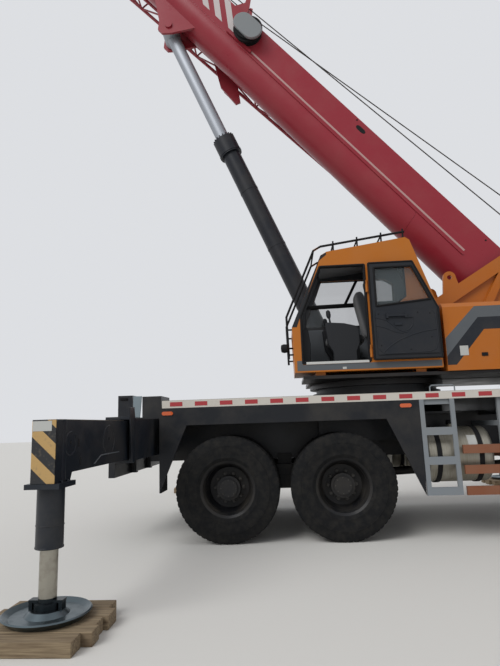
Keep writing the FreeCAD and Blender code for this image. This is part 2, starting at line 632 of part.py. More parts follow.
def tank(x0, x1, y, z, radius):
    """Drum tank with rounded rims and two steel straps on its bracket."""
    body = rod((x0, y, z), (x1, y, z), radius)
    body = body.makeFillet(60, [e for e in body.Edges if e.Curve.TypeId == "Part::GeomCircle"])
    straps = [pipe((x, y, z), (x + 45, y, z), radius + 7, radius - 1) for x in (x0 + 130, x1 - 175)]
    s = -1 if y < 0 else 1
    brackets = [block(x, x + 45, *sorted((s * (BOX_HALF_WIDTH - 1), y)), z - radius - 7, z - radius + 55)
                for x in (x0 + 130, x1 - 175)]
    uprights = [block(x, x + 45, *sorted((s * BOX_HALF_WIDTH, s * (BOX_HALF_WIDTH + 40))), z - radius - 7,
                      BOX_BOTTOM + 120)
                for x in (x0 + 130, x1 - 175)]
    filler = rod((x0 + 420, y - 60 * s, z + radius - 25), (x0 + 420, y - 60 * s, z + radius + 35), 55)
    return fused([body, filler] + straps + brackets + uprights)


def fuel_tanks():
    return Part.Compound([tank(310, 1085, s * 985, 930, 320) for s in (-1, 1)])


LADDER_X = (225.0, 665.0)
GUARD_X = (710.0, 2560.0)


def side_steps():
    """Ladders to the deck behind the wheel arches, and the three guard bars forward of each."""
    parts = []
    x0, x1 = LADDER_X
    w = CARRIER_HALF_WIDTH
    low = DECK_TOP - DECK_EDGE_HIGH
    for s in (-1, 1):
        y0, y1 = sorted((s * (w + 2), s * (w - 28)))
        rails = [plate_xz([(x, low), (x + 52, low), (x + 52 + 8, 500), (x + 8, 500)], y0, y1)
                 for x in (x0 + 35, x1 - 60)]
        rungs = [block(x0 + 45, x1 - 8, y0, y1, z, z + 88) for z in (500, 835, 1165)]
        hooks = [block(x0 + 40, x1 - 10, *sorted((s * (w - 27), s * (w - 40))), low - 60, low)]
        ladder = fused(rails + rungs + hooks)
        bars = [block(GUARD_X[0], GUARD_X[1], *sorted((s * (w - 5), s * (w - 45))), z, z + 96)
                for z in (495, 725, 950)]
        stays = [block(x, x + 60, *sorted((s * (w - 44), s * (w - 90))), 495, low + 60)
                 for x in (1150, 2350)]
        arms = [block(x, x + 60, *sorted((s * BOX_HALF_WIDTH, s * (w - 60))), 1250, 1310)
                for x in (1150, 2350)]
        parts += [ladder, fused(bars + stays + arms)]
    return Part.Compound(parts)


def lamps():
    """Side markers, headlamps and the rear lamp clusters with the rear bar that carries them."""
    parts = []
    w = CARRIER_HALF_WIDTH
    for s in (-1, 1):
        for x in (-2690, 103):
            ends = [rod((x + e, s * w, 1511), (x + e, s * (w + 14), 1511), 22) for e in (-45, 45)]
            bar = block(x - 45, x + 45, *sorted((s * w, s * (w + 14))), 1489, 1533)
            parts.append(fused(ends + [bar]))
        for y, r in ((980, 85), (760, 70)):
            parts.append(rod((BUMPER_X, s * y, 760), (BUMPER_X + LAMP_PROUD, s * y, 760), r))
        parts.append(block(-3500, -3476, s * 760 - 220, s * 760 + 220, 800, 920))
    return Part.Compound(parts)


def valve_boxes():
    """Closed boxes of the outriggers' valves, on the near end of the rear outrigger box."""
    low = stage1_heights()[1] + SLIDE_GAP + OUTRIGGER_WALL - 5
    return [block(-3420, -3235, -985, -620, low, 1765), block(-3105, -2860, -985, -520, low, 1745)]


def rear_bumper():
    """Underrun bar below the rear outrigger box, with its tow eye."""
    bar = block(-3476, -3400, -1150, 1150, 760, 950)
    arms = [block(-3476, -3340, s * 380 - 40, s * 380 + 40, 760, 1003) for s in (-1, 1)]
    return fused([bar] + arms)


def timber_mats():
    """Hardwood boards laid side by side on the ground under each outrigger pad."""
    boards = []
    for (end, side), x in OUTRIGGER_X.items():
        s = side_sign(side)
        y = s * JACK_Y
        for k, (shift, length) in enumerate(((30, 760), (-40, 820), (60, 700), (0, 800))):
            x0 = x - 310 + 158 * k
            mid = y + s * shift
            boards.append(block(x0, x0 + 150, mid - length / 2, mid + length / 2, 0, MAT_TOP))
    return Part.Compound(boards)


# Outriggers

def stage1(end, side):
    s = side_sign(side)
    x = OUTRIGGER_X[(end, side)]
    low, high = stage1_heights()
    half = STAGE2_WIDTH / 2 + STAGE_WALL + SLIDE_GAP
    y_out, y_in = s * STAGE1_END_Y, s * (STAGE1_END_Y - STAGE1_LENGTH)
    y0, y1 = sorted((y_out, y_in))
    beam = block(x - half, x + half, y0, y1, low, high)
    collar = block(x - half - 5, x + half + 5, *sorted((y_out, y_out - 70 * s)), low - 5, high + 5)
    bore = block(x - half + STAGE_WALL, x + half - STAGE_WALL, y0 - 5, y1 + 5, STAGE2_BOTTOM - SLIDE_GAP,
                 STAGE2_TOP + SLIDE_GAP)
    pads = [
        block(x - 70, x + 70, *sorted((y_out - 2 * s, y_out - 90 * s)), STAGE2_BOTTOM - SLIDE_GAP - 1,
              STAGE2_BOTTOM - FIT_GAP),
        block(x - 70, x + 70, *sorted((y_out - 430 * s, y_out - 560 * s)), STAGE2_TOP + FIT_GAP,
              STAGE2_TOP + SLIDE_GAP + 1),
    ]
    return fused([fused([beam, collar]).cut(bore)] + pads)


def stage2(end, side):
    """Inner beam with its deeper end, end cap and the jack's outer tube and collar."""
    s = side_sign(side)
    x = OUTRIGGER_X[(end, side)]
    half = STAGE2_WIDTH / 2
    y_cap, y_in = s * STAGE2_CAP_Y, s * (STAGE2_CAP_Y - STAGE2_LENGTH)
    tube = block(x - half, x + half, *sorted((y_cap, y_in)), STAGE2_BOTTOM, STAGE2_TOP)
    hollow = block(x - half + 12, x + half - 12, *sorted((s * (JACK_Y - 160), y_in - 5 * s)), STAGE2_BOTTOM
                   + 12, STAGE2_TOP - 12)
    deep = plate_yz([(y_cap, STAGE2_BOTTOM + 5), (y_cap, 985), (s * (JACK_Y - 115), 985),
                     (s * (JACK_Y - 150), STAGE2_BOTTOM + 5)],
                    x - half, x + half)
    collar = plate_xy([(x - 125, y_cap + 15 * s), (x + 125, y_cap + 15 * s), (x + 125, s * (JACK_Y - 130)),
                       (x - 125, s * (JACK_Y - 130))],
                      955, 990)
    jack = rod((x, s * JACK_Y, JACK_TUBE_BOTTOM), (x, s * JACK_Y, STAGE2_TOP), JACK_TUBE_R)
    bore = rod((x, s * JACK_Y, JACK_TUBE_BOTTOM - 5), (x, s * JACK_Y, STAGE2_TOP - 60),
               JACK_ROD_R + FIT_GAP)
    body = fused([tube.cut(hollow), deep, collar, jack])
    return body.cut(bore)


def jack_foot(end, side):
    """Jack rod with its socket and the dished round pad."""
    s = side_sign(side)
    x, y = OUTRIGGER_X[(end, side)], s * JACK_Y
    top = JACK_TUBE_BOTTOM + JACK_TRAVEL + 30
    shaft = rod((x, y, PAD_BOTTOM + 60), (x, y, top), JACK_ROD_R)
    dish = turned_pad(x, y)
    socket = rod((x, y, PAD_BOTTOM + 30), (x, y, PAD_BOTTOM + 105), 88)
    keeper = block(x - 120, x + 120, y - 34, y + 34, PAD_BOTTOM + 105, PAD_BOTTOM + 122)
    straps = [block(x + e * 105 - 12, x + e * 105 + 12, y - 34, y + 34, PAD_BOTTOM + 50, PAD_BOTTOM + 106)
              for e in (-1, 1)]
    return fused([shaft, dish, socket, keeper] + straps)


def turned_pad(x, y):
    """A round foot: flat below, with a raised middle and a turned-up rim."""
    profile = [(0, 0), (PAD_R - 45, 0), (PAD_R, 42), (PAD_R - 10, 50), (PAD_R - 55, 24), (150, 26),
               (110, 60), (0, 60)]
    wire = Part.makePolygon([Vector(r, 0, z) for r, z in profile + profile[:1]])
    solid = Part.Face(wire).revolve(Vector(0, 0, 0), Vector(0, 0, 1), 360)
    solid.translate(Vector(x, y, PAD_BOTTOM))
    return solid


# Superstructure

def side_plate_outline():
    return [
        (-880, TABLE_TOP - 20), (-880, 2330), (-760, 2440), (-30, 2440), (1900, 3620), (2090, 3620),
        (2560, 2980),
        (3900, 2620), (3900, TABLE_TOP - 20),
    ]


def turntable_frame():
    """Base plate over the ring, two tall side plates with their ribs, pin bosses and lifting lugs."""
    base = block(-960, 3950, -RIB_OUT_Y, RIB_OUT_Y, TABLE_TOP - 50, TABLE_TOP)
    ring = pipe((0, 0, TABLE_BOTTOM), (0, 0, TABLE_TOP - 45), RING_R, RING_R - 200)
    cab_arm = block(-1050, 560, CAB_NEAR_Y + 60, -400, TABLE_TOP - 45, TABLE_TOP - 5)
    near_floor = block(560, 3350, CAB_NEAR_Y + 60, -400, TABLE_TOP - 45, TABLE_TOP - 10)
    far_floor = block(-300, 3350, 400, 1230, TABLE_TOP - 45, TABLE_TOP - 10)
    parts = [base, ring, cab_arm, near_floor, far_floor]
    for s in (-1, 1):
        y0, y1 = sorted((s * PLATE_IN_Y, s * PLATE_OUT_Y))
        parts.append(plate_xz(side_plate_outline(), y0, y1))
        r0, r1 = sorted((s * PLATE_OUT_Y, s * RIB_OUT_Y))
        top_rib = [(-30, 2440), (1900, 3620), (2090, 3620), (2050, 3480), (1940, 3440), (40, 2270)]
        slant_rib = [(1720, 3330), (1850, 3380), (1420, 2560), (1290, 2560)]
        rear_rib = [(2090, 3620), (2560, 2980), (3900, 2620), (3900, 2520), (2500, 2880), (2010, 3500)]
        parts += [plate_xz(outline, r0, r1) for outline in (top_rib, slant_rib, rear_rib)]
        parts.append(rod((FOOT_PIN[0], s * PLATE_IN_Y, FOOT_PIN[1]), (FOOT_PIN[0], s * (RIB_OUT_Y + 15),
                                                                      FOOT_PIN[1]), 170))
        parts.append(lifting_lug(1040, s))
        parts.append(rod((LIFT_FOOT[0], s * 260, LIFT_FOOT[1]), (LIFT_FOOT[0], s * PLATE_IN_Y,
                                                                 LIFT_FOOT[1]), 130))
    parts.append(block(3450, 4010, -PLATE_IN_Y, PLATE_IN_Y, SHELF_TOP - 40, SHELF_TOP))
    parts.append(block(2350, 2400, -PLATE_IN_Y, PLATE_IN_Y, TABLE_TOP - 10, 2400))
    solid = fused(parts)
    return solid.cut(rod((FOOT_PIN[0], -RIB_OUT_Y - 30, FOOT_PIN[1]), (FOOT_PIN[0], RIB_OUT_Y + 30,
                                                                       FOOT_PIN[1]),
                         FOOT_PIN_R + FIT_GAP))


def lifting_lug(x, s):
    """A plate ear with a round hole, standing on the sloping rib."""
    z = 3255
    y0, y1 = sorted((s * (PLATE_OUT_Y + 5), s * (PLATE_OUT_Y + 45)))
    ear = fused([rod((x, y0, z), (x, y1, z), 85), plate_xz([(x - 85, z), (x + 85, z), (x + 130, z - 160),
                                                            (x - 110, z - 300)], y0, y1)])
    return ear.cut(rod((x, y0 - 5, z), (x, y1 + 5, z), 32))


def machinery_hoods():
    """Sheet housings on both sides of the superstructure, closed boxes with chamfered tops."""
    near = plate_yz([(CAB_NEAR_Y, 1900), (CAB_NEAR_Y, 2665), (CAB_NEAR_Y + 50, 2720), (-520, 2720),
                     (-520, 1900)], 645, 3300)
    far = plate_yz([(1280, 1900), (1280, 2420), (1230, 2470), (520, 2470), (520, 1900)], 300, 3300)
    shells = []
    for solid, (x0, x1, y0, y1, top) in ((near, (645, 3300, CAB_NEAR_Y, -520, 2720)),
                                         (far, (300, 3300, 520, 1280, 2470))):
        inner = block(x0 + 22, x1 - 22, y0 + 22, y1 - 22, 1870, top - 75)
        shells.append(solid.cut(inner))
    return Part.Compound(shells)


def counterweight():
    """Cast tail weight with rounded corners, hung behind the side plates."""
    outline = [(3420, -1230), (4050, -1230), (TAIL_X, -950), (TAIL_X, 950), (4050, 1230), (3420, 1230)]
    slab = plate_xy(outline, 1840, 2560)
    notch = block(3400, 3950, -RIB_OUT_Y, RIB_OUT_Y, 1800, 2700)
    winch_room = block(3900, TAIL_X - 60, -PLATE_IN_Y - 5, PLATE_IN_Y + 5, SHELF_TOP - 45, 2600)
    return slab.cut(Part.Compound([notch, winch_room]))


# Each winch's middle (x, z) and the height that its bearing plates stand on
WINCHES = ((3080.0, 2760.0, TABLE_TOP), (3790.0, 2720.0, SHELF_TOP + FIT_GAP))


def winch(x, z, low):
    """Drum with rope, end flanges, a motor and its two bearing plates."""
    drum = rod((x, -255, z), (x, 255, z), 235)
    flanges = [rod((x, y, z), (x, y + 25, z), 330) for y in (-280, 255)]
    stand = [plate_xz([(x - 210, low), (x + 210, low), (x + 90, z + 60), (x - 90, z + 60)], y, y + 30)
             for y in (-325, 295)]
    shaft = rod((x, -325, z), (x, 325, z), 60)
    return fused([drum, shaft] + flanges + stand)


def winches():
    return Part.Compound([winch(x, z, low) for x, z, low in WINCHES])


def cab_outline(inset):
    """Side outline (x, z) of the operator's cab, moved inwards by inset."""
    i = inset
    return [
        (-1150 + i, CAB_BOTTOM + i), (-1165 + i, 2500), (-770 + i, 3395 - i), (-690 + i, 3440 - i),
        (280 - i, 3575 - i), (330 - i, 3540 - i), (600 - i, 2700), (600 - i, CAB_BOTTOM + i),
    ]


def cab_door_outline(gap):
    """Door and doorway outline (x, z) of the operator's cab, with the door shut."""
    g = gap
    return [(-1050 + g, 2050 + g), (DOOR_HINGE_X - 12 - g, 2050 + g), (DOOR_HINGE_X - 12 - g, 3250 - g),
            (-790 + g, 3250 - g), (-1050 + g, 2640)]


def cab_door_window():
    return [(-960, 2760), (-320, 2700), (-320, 3180), (-770, 3180)]


def operator_cab():
    """Hollow cab with doorway, windscreen, roof, side and rear windows, and its guard rails."""
    near, far, wall = CAB_NEAR_Y, CAB_FAR_Y, CAB_WALL
    shell = plate_xz(cab_outline(0), near, far).cut(plate_xz(cab_outline(wall), near + wall, far - wall))
    doorway = plate_xz(cab_door_outline(0), near - 10, near + wall + 5)
    quarter = plate_xz([(-150, 2740), (110, 2740), (230, 2830), (230, 3200), (-150, 3230)], near - 10,
                       near + wall + 5)
    far_window = plate_xz([(-980, 2620), (250, 2620), (250, 3180), (120, 3260), (-730, 3260)],
                          far - wall - 5, far + 10)
    screen = plate_yz([(near + 70, 2560), (far - 70, 2560), (far - 70, 3330), (near + 70, 3330)], -1250,
                      -720)
    lower = plate_yz([(near + 110, 2130), (far - 110, 2130), (far - 110, 2440), (near + 110, 2440)], -1250,
                     -1090)
    rear = plate_yz([(near + 110, 2850), (far - 110, 2850), (far - 110, 3330), (near + 110, 3330)], 330,
                    620)
    shell = shell.cut(Part.Compound([doorway, quarter, far_window, screen, lower, rear]))
    feet = [block(x, x + 120, near + 90, far - 60, TABLE_TOP - 5, CAB_BOTTOM + 5) for x in (-900, 300)]
    hinge = []
    for z in DOOR_HINGE_Z:
        hinge.append(rod((DOOR_HINGE_X, DOOR_HINGE_Y, z - 4), (DOOR_HINGE_X, DOOR_HINGE_Y, z + 150),
                         DOOR_PIN_R))
        hinge.append(block(DOOR_HINGE_X - 9, DOOR_HINGE_X + 9, DOOR_HINGE_Y, near + 2, z + 102, z + 150))
    return fused([shell] + feet + hinge + roof_rails())


def roof_rails():
    """Guard tubes that run up before the windscreen and back along the roof, on short stays."""
    near, far = CAB_NEAR_Y, CAB_FAR_Y
    route = [(-1215, 2120), (-1225, 2640), (-850, 3480), (-760, 3530), (290, 3668)]
    rails = []
    for y in (near + 60, far - 60):
        points = [(x, y, z) for x, z in route]
        rails += [rod(a, b, 13) for a, b in zip(points, points[1:])]
        rails += [Part.makeSphere(13, Vector(*p)) for p in points[1:-1]]
        for x, z in ((-600, 3551), (-300, 3590), (0, 3630), (270, 3665)):
            rails.append(rod((x, y, z), (x, y, z - 105), 9))
        for z in (2170, 2480):
            rails.append(rod((-1220, y, z), (-1150, y, z), 9))
    for x, z in ((-850, 3480), (-600, 3551), (-300, 3590), (0, 3630)):
        rails.append(rod((x, near + 60, z), (x, far - 60, z), 9))
    return rails


def operator_glass():
    """Panes of the operator's cab: windscreen, lower pane, far side, quarter and rear windows."""
    near, far = CAB_NEAR_Y, CAB_FAR_Y
    pane = 8
    quarter = plate_xz([(-150, 2740), (110, 2740), (230, 2830), (230, 3200), (-150, 3230)], near + 18,
                       near + 18 + pane)
    far_window = plate_xz([(-980, 2620), (250, 2620), (250, 3180), (120, 3260), (-730, 3260)], far - 26,
                          far - 26 + pane)
    slope = 395 / 895
    x_low, x_high = -1165 + slope * (2560 - 2500) + 14, -1165 + slope * (3330 - 2500) + 14
    screen = plate_xz([(x_low, 2560), (x_low + pane, 2560), (x_high + pane, 3330), (x_high, 3330)],
                      near + 70, far - 70)
    lower = block(-1138, -1138 + pane, near + 110, far - 110, 2130, 2440)
    rear_slope = 270 / 840
    r_low, r_high = 600 - rear_slope * (2850 - 2700) - 30, 600 - rear_slope * (3330 - 2700) - 30
    rear = plate_xz([(r_low, 2850), (r_low + pane, 2850), (r_high + pane, 3330), (r_high, 3330)],
                    near + 110, far - 110)
    return Part.Compound([quarter, far_window, screen, lower, rear])


def operator_interior():
    """Seat, side consoles with levers, and the front instrument stand."""
    floor = CAB_BOTTOM + CAB_WALL
    mid = (CAB_NEAR_Y + CAB_FAR_Y) / 2
    chair = seat(OPERATOR_SEAT_X, mid, floor, -1)
    front, back = OPERATOR_SEAT_X - 250, OPERATOR_SEAT_X + 140
    arm_ys = (mid - 264, mid + 264)
    consoles = [plate_xz([(front, floor + 300), (front - 20, floor + 560), (back, floor + 500),
                          (back, floor + 300)], y - 35, y + 35)
                for y in arm_ys]
    legs = [block(front + 60, back - 40, y - 35, y + 35, floor, floor + 305) for y in arm_ys]
    levers = [rod((front + 50, y, floor + 530), (front + 30, y, floor + 700), 16) for y in arm_ys]
    stand = plate_xz([(-1090, floor), (-1095, floor + 420), (-1030, floor + 520), (-960, floor + 500),
                      (-940, floor + 330), (-950, floor)],
                     mid - 230, mid + 150)
    display = plate_xz([(-1040, floor + 495), (-1020, floor + 740), (-980, floor + 750),
                        (-975, floor + 490)], mid - 120, mid + 90)
    return Part.Compound([fused([chair] + consoles + legs + levers), fused([stand, display])])


def operator_door():
    """The door folded right back against the cab's side: its shut shape turned half round its hinge."""
    near, wall = CAB_NEAR_Y, CAB_WALL - 3
    panel = plate_xz(cab_door_outline(DOOR_GAP), near, near + wall)
    window = plate_xz(cab_door_window(), near - 5, near + wall + 5)
    bore = DOOR_PIN_R + 0.05
    knuckles = [pipe((DOOR_HINGE_X, DOOR_HINGE_Y, z), (DOOR_HINGE_X, DOOR_HINGE_Y, z + 100), DOOR_KNUCKLE_R,
                     bore)
                for z in DOOR_HINGE_Z]
    tabs = [block(DOOR_HINGE_X - 30, DOOR_HINGE_X - 14, DOOR_HINGE_Y - 6, near + 8, z, z + 100)
            for z in DOOR_HINGE_Z]
    inner_trim = plate_xz([(-1010, 2110), (-300, 2110), (-300, 2640), (-1010, 2640)], near + wall - 1,
                          near + wall + 14)
    handle = [block(-640, -440, near + wall + 13, near + wall + 42, 2560, 2585)]
    handle += [block(x, x + 22, near + wall, near + wall + 42, 2540, 2600) for x in (-660, -442)]
    door = fused([panel.cut(window), inner_trim] + knuckles + tabs + handle)
    door.rotate(Vector(DOOR_HINGE_X, DOOR_HINGE_Y, 0), Vector(0, 0, 1), 180)
    return door


# Boom, drawn level with its foot pin at the origin and pointing to -X, then raised

def raised(shape):
    shape = shape.copy()
    shape.rotate(Vector(0, 0, 0), Vector(0, 1, 0), BOOM_ANGLE)
    shape.translate(Vector(FOOT_PIN[0], 0, FOOT_PIN[1]))
    return shape


def boom_section_face(level, x, shrink=0.0):
    """Face across the boom: flat top and sides with a half-round belly. Level 0 is the base section."""
    inset = SECTION_STEP * level + shrink
    half = BOOM_WIDTH / 2 - inset
    top = BOOM_TOP_OVER_PIN - inset
    bottom = BOOM_TOP_OVER_PIN - BOOM_HIGH + inset
    turn = bottom + half
    edges = [
        Part.LineSegment(Vector(x, -half, turn), Vector(x, -half, top)),
        Part.LineSegment(Vector(x, -half, top), Vector(x, half, top)),
        Part.LineSegment(Vector(x, half, top), Vector(x, half, turn)),
        Part.Arc(Vector(x, half, turn), Vector(x, 0, bottom), Vector(x, -half, turn)),
    ]
    return Part.Face(Part.Wire([e.toShape() for e in edges]))


def boom_tube(level, start, end):
    outer = boom_section_face(level, -start).extrude(Vector(start - end, 0, 0))
    inner = boom_section_face(level, -start + 10, SECTION_WALL).extrude(Vector(start - end - 20, 0, 0))
    return outer.cut(inner)


def boom_collar(level, end, long, thick):
    """Reinforcing collar round a section's mouth, with slide pads that meet the next section."""
    outer = boom_section_face(level, -end + long, -thick).extrude(Vector(-long, 0, 0))
    inner = boom_section_face(level + 1, -end + long + 5, -FIT_GAP - 0.2).extrude(Vector(-long - 10, 0, 0))
    return outer.cut(inner)


def boom_base():
    """Base section with its foot, lift bracket, mouth collar, reel, rope guide and jib brackets."""
    end = BASE_REAR + BASE_LENGTH
    tube = boom_tube(0, BASE_REAR, end)
    parts = [tube, boom_collar(0, end, 150, 22)]
    foot = [rod((0, s * (BOOM_WIDTH / 2 - SECTION_WALL), 0), (0, s * (PLATE_IN_Y - 1), 0), 165)
            for s in (-1, 1)]
    pin = rod((0, -RIB_OUT_Y - 40, 0), (0, RIB_OUT_Y + 40, 0), FOOT_PIN_R)
    parts += foot + [pin] + lift_bracket() + boom_fittings()
    return raised(fused(parts))


def lift_bracket():
    """Two wedge plates under the boom that hold the lift cylinder's upper pin."""
    bottom = BOOM_TOP_OVER_PIN - BOOM_HIGH
    x = -LIFT_EYE_ALONG
    z = -LIFT_EYE_BELOW
    outline = [(x + 420, bottom + 200), (x + 150, z - 60), (x + 40, z - 180), (x - 60, z - 180),
               (x - 170, z - 60), (x - 900, bottom + 200)]
    sides = [plate_xz(outline, y, y + 40) for y in (-LIFT_GLAND_R - 50, LIFT_GLAND_R + 10)]
    pin = rod((x, -250, z), (x, 250, z), LIFT_PIN_R)
    hollow = boom_section_face(0, x + 1200, 1).extrude(Vector(-2600, 0, 0))
    return [p.cut(hollow) for p in sides] + [pin]


JIB_START = 2650.0
JIB_LENGTH = 8500.0
JIB_CHORD_R = 28.0
JIB_BRACKETS = (5680.0, 9300.0)
REEL_ALONG = 5420.0
REEL_Z = -60.0
REEL_COVER_R = 150.0
ROPE_GUIDE_ALONG = 5930.0
ROPE_GUIDE_Z = 340.0


def boom_fittings():
    """Cable reel, its conduit, the rope guide on top and the brackets that hold the stowed jib."""
    half = BOOM_WIDTH / 2
    side = -half
    reel = fused([rod((-REEL_ALONG, side + 1, REEL_Z), (-REEL_ALONG, side - 165, REEL_Z), 195),
                  rod((-REEL_ALONG, side - 115, REEL_Z), (-REEL_ALONG, side - 130, REEL_Z), 225)])
    ends = [rod((x, side - 164, REEL_Z), (x, side - 205, REEL_Z), REEL_COVER_R)
            for x in (-REEL_ALONG - REEL_COVER_R * 0.7, -REEL_ALONG + REEL_COVER_R * 0.7)]
    cover = fused(ends + [block(-REEL_ALONG - REEL_COVER_R * 0.7, -REEL_ALONG + REEL_COVER_R * 0.7,
                                side - 205,
                                side - 164, REEL_Z - REEL_COVER_R, REEL_Z + REEL_COVER_R)])
    stay = block(-5700, -5150, side - 40, side + 1, -275, -235)
    conduit = block(-5230, -640, side - 16, side + 1, -305, -283)
    top = BOOM_TOP_OVER_PIN
    g = -ROPE_GUIDE_ALONG
    guide = [plate_xz([(g - 190, top - 2), (g + 150, top - 2), (g + 40, ROPE_GUIDE_Z + 40),
                       (g - 110, ROPE_GUIDE_Z + 220),
                       (g - 160, ROPE_GUIDE_Z + 200), (g - 70, ROPE_GUIDE_Z + 40)], y, y + 16)
             for y in (-160, 144)]
    roller = rod((g, -160, ROPE_GUIDE_Z), (g, 160, ROPE_GUIDE_Z), 45)
    hooks = []
    for along in JIB_BRACKETS:
        x0, x1 = -along - 60, -along + 60
        under = jib_corner((along + 60 - JIB_START) / JIB_LENGTH, 0, 0)[2] - JIB_CHORD_R - FIT_GAP
        over = jib_corner((along - 60 - JIB_START) / JIB_LENGTH, 0, 1)[2] + JIB_CHORD_R + 6
        hooks.append(block(x0, x1, half - 1, half + 700, over, over + 60))
        hooks.append(block(x0, x1, half + 60, half + 100, under - 50, over + 60))
        hooks.append(block(x0, x1, half + 60, half + 700, under - 50, under))
    link = [(-5980, -250), (-5980, -450), (-5480, -715), (-5060, -745), (-5030, -665), (-5380, -430),
            (-5380, -250)]
    hooks.append(plate_xz(link, half + 60, half + 100))
    return [reel, cover, stay, conduit, roller] + guide + hooks


def jib_corner(t, i, k):
    """Chord centre at a share t of the length; i picks the inner or outer pair, k the upper or lower."""
    wide = 190 + 330 * t
    y = BOOM_WIDTH / 2 + 140 + (wide if i else 0)
    z = -130 - 95 * t if k else -330 - 265 * t
    return (-(JIB_START + JIB_LENGTH * t), y, z)


def stowed_jib():
    """Lattice jib folded back along the boom's far side, wide at its foot and narrow at its tip."""
    bays = 11
    corner = jib_corner
    parts = []
    for i in (0, 1):
        for k in (0, 1):
            parts.append(rod(corner(0, i, k), corner(1, i, k), JIB_CHORD_R))
    for b in range(bays + 1):
        t = b / bays
        for a, c in (((0, 0), (1, 0)), ((0, 1), (1, 1)), ((0, 0), (0, 1)), ((1, 0), (1, 1))):
            parts.append(rod(corner(t, *a), corner(t, *c), 15))
        if b < bays:
            u = (b + 1) / bays
            flip = b % 2
            for a, c in (((0, flip), (0, 1 - flip)), ((1, flip), (1, 1 - flip)), ((flip, 0), (1 - flip, 0)),
                         ((flip, 1), (1 - flip, 1))):
                parts.append(rod(corner(t, *a), corner(u, *c), 15))
    x, y, z = corner(0, 0, 0)
    tip = [block(x - 10, x + 160, y - 30, y + 220, z - 35, corner(0, 0, 1)[2] + 35)]
    feet = []
    for i in (0, 1):
        x, y, low = corner(1, i, 0)
        high = corner(1, i, 1)[2]
        feet.append(plate_xz([(x, low - 30), (x, high + 30), (x - 180, high - 60), (x - 180, low + 60)],
                             y - 22, y + 22))
    return raised(fused(parts + tip + feet))


def telescope(level):
    """An inner boom section with its mouth collar; the innermost carries the head."""
    start = BASE_REAR + 420 + 120 * level
    end = BASE_REAR + BASE_LENGTH + SECTION_PROUD * level
    tube = boom_tube(level, start, end)
    if level < SECTION_COUNT - 1:
        return raised(fused([tube, boom_collar(level, end, SECTION_PROUD - 80, 14)]))
    return raised(fused([tube] + boom_head(level, end)))


def boom_head(level, end):
    """Head plates with the lower and upper sheaves and the rooster roller."""
    half = BOOM_WIDTH / 2 - SECTION_STEP * level
    top = BOOM_TOP_OVER_PIN - SECTION_STEP * level
    bottom = BOOM_TOP_OVER_PIN - BOOM_HIGH + SECTION_STEP * level
    sx, sz = -HEAD_SHEAVE_ALONG, -HEAD_SHEAVE_BELOW
    collar = boom_section_face(level, -end + 160, -14).extrude(Vector(-160, 0, 0)).cut(
        boom_section_face(level, -end + 165, 2).extrude(Vector(-170, 0, 0)))
    cap = boom_section_face(level, -end + 30, -10).extrude(Vector(-30, 0, 0))
    outline = [(-end + 40, top), (-end + 40, bottom + 230), (sx + 230, sz + 60), (sx + 200, sz - 120),
               (sx - 200, sz - 120),
               (sx - 230, sz + 60), (-end - 420, top - 20), (-end - 260, top + 130), (-end - 60, top + 120)]
    sides = [plate_xz(outline, y, y + 25) for y in (-half + 5, half - 30)]
    rims = [rod((sx, y, sz), (sx, y + 25, sz), HEAD_PLATE_R) for y in (-half + 5, half - 30)]
    shaft = rod((sx, -half, sz), (sx, half, sz), HEAD_SHAFT_R)
    groove = HEAD_SHEAVE_R - 24
    sheaves = [turned_y([(48, y), (HEAD_SHEAVE_R, y), (groove, y + 20), (HEAD_SHEAVE_R, y + 40),
                         (48, y + 40)], sx, sz)
               for y in (-173, -95, -17, 61, 139)]
    ux, uz = -end - 190, top + 30
    upper = [rod((ux, -half, uz), (ux, half, uz), 32)]
    upper += [turned_y([(30, y), (130, y), (112, y + 18), (130, y + 36), (30, y + 36)], ux, uz)
              for y in (-90, 60)]
    return [collar, cap, shaft] + sides + rims + sheaves + upper


def hook_block():
    """Yoke on the head's shaft, falls of rope, the block's cheeks and sheaves, and a double hook below."""
    x, z = HOOK_PIN
    z_block = z - HOOK_DROP
    z_yoke = z - HEAD_SHEAVE_R - 90
    falls = []
    for y in (-131, -53, 25, 103):
        for dx in (-1, 1):
            falls.append(rod((x + dx * 196, y, z_block), (x + dx * (HEAD_SHEAVE_R + 18), y, z - 40), 10))
    hangers = []
    for y in (-115, 119):
        eye = rod((x, y, z), (x, y + 8, z), 78)
        strap = block(x - 40, x + 40, y, y + 8, z_yoke - 20, z)
        hangers += [fused([eye, strap])]
    yoke = block(x - 235, x + 235, -150, 135, z_yoke - 30, z_yoke)
    cheeks = [plate_xz([(x - 225, z_block), (x - 120, z_block + 235), (x + 120, z_block + 235),
                        (x + 225, z_block),
                        (x + 120, z_block - 260), (x - 120, z_block - 260)], y, y + 28)
              for y in (-185, 148)]
    sheaves = [turned_y([(40, y), (205, y), (190, y + 18), (205, y + 36), (40, y + 36)], x, z_block)
               for y in (-149, -71, 7, 85)]
    axle = rod((x, -200, z_block), (x, 190, z_block), 45)
    trunnion = block(x - 90, x + 90, -186, 177, z_block - 330, z_block - 220)
    shank = rod((x, -5, z_block - 525), (x, -5, z_block - 320), 48)
    z_hook = z_block - 500
    hooks = []
    for dx in (-1, 1):
        cx = x + dx * 95
        bow = pipe((cx, -43, z_hook), (cx, 33, z_hook), 133, 57)
        hooks.append(bow.common(block(x - 240, x + 240, -60, 50, z_hook - 140, z_hook)))
        hooks.append(plate_xz([(cx + dx * 133, z_hook), (cx + dx * 57, z_hook), (cx + dx * 78, z_hook + 75),
                               (cx + dx * 108, z_hook + 75)], -43, 33))
    whole = fused(falls + hangers + [yoke] + cheeks + sheaves + [axle, trunnion, shank] + hooks)
    return whole.cut(rod((x, -260, z), (x, 260, z), HEAD_SHAFT_R + FIT_GAP))


# Lift cylinder between the superstructure's foot and the boom's bracket

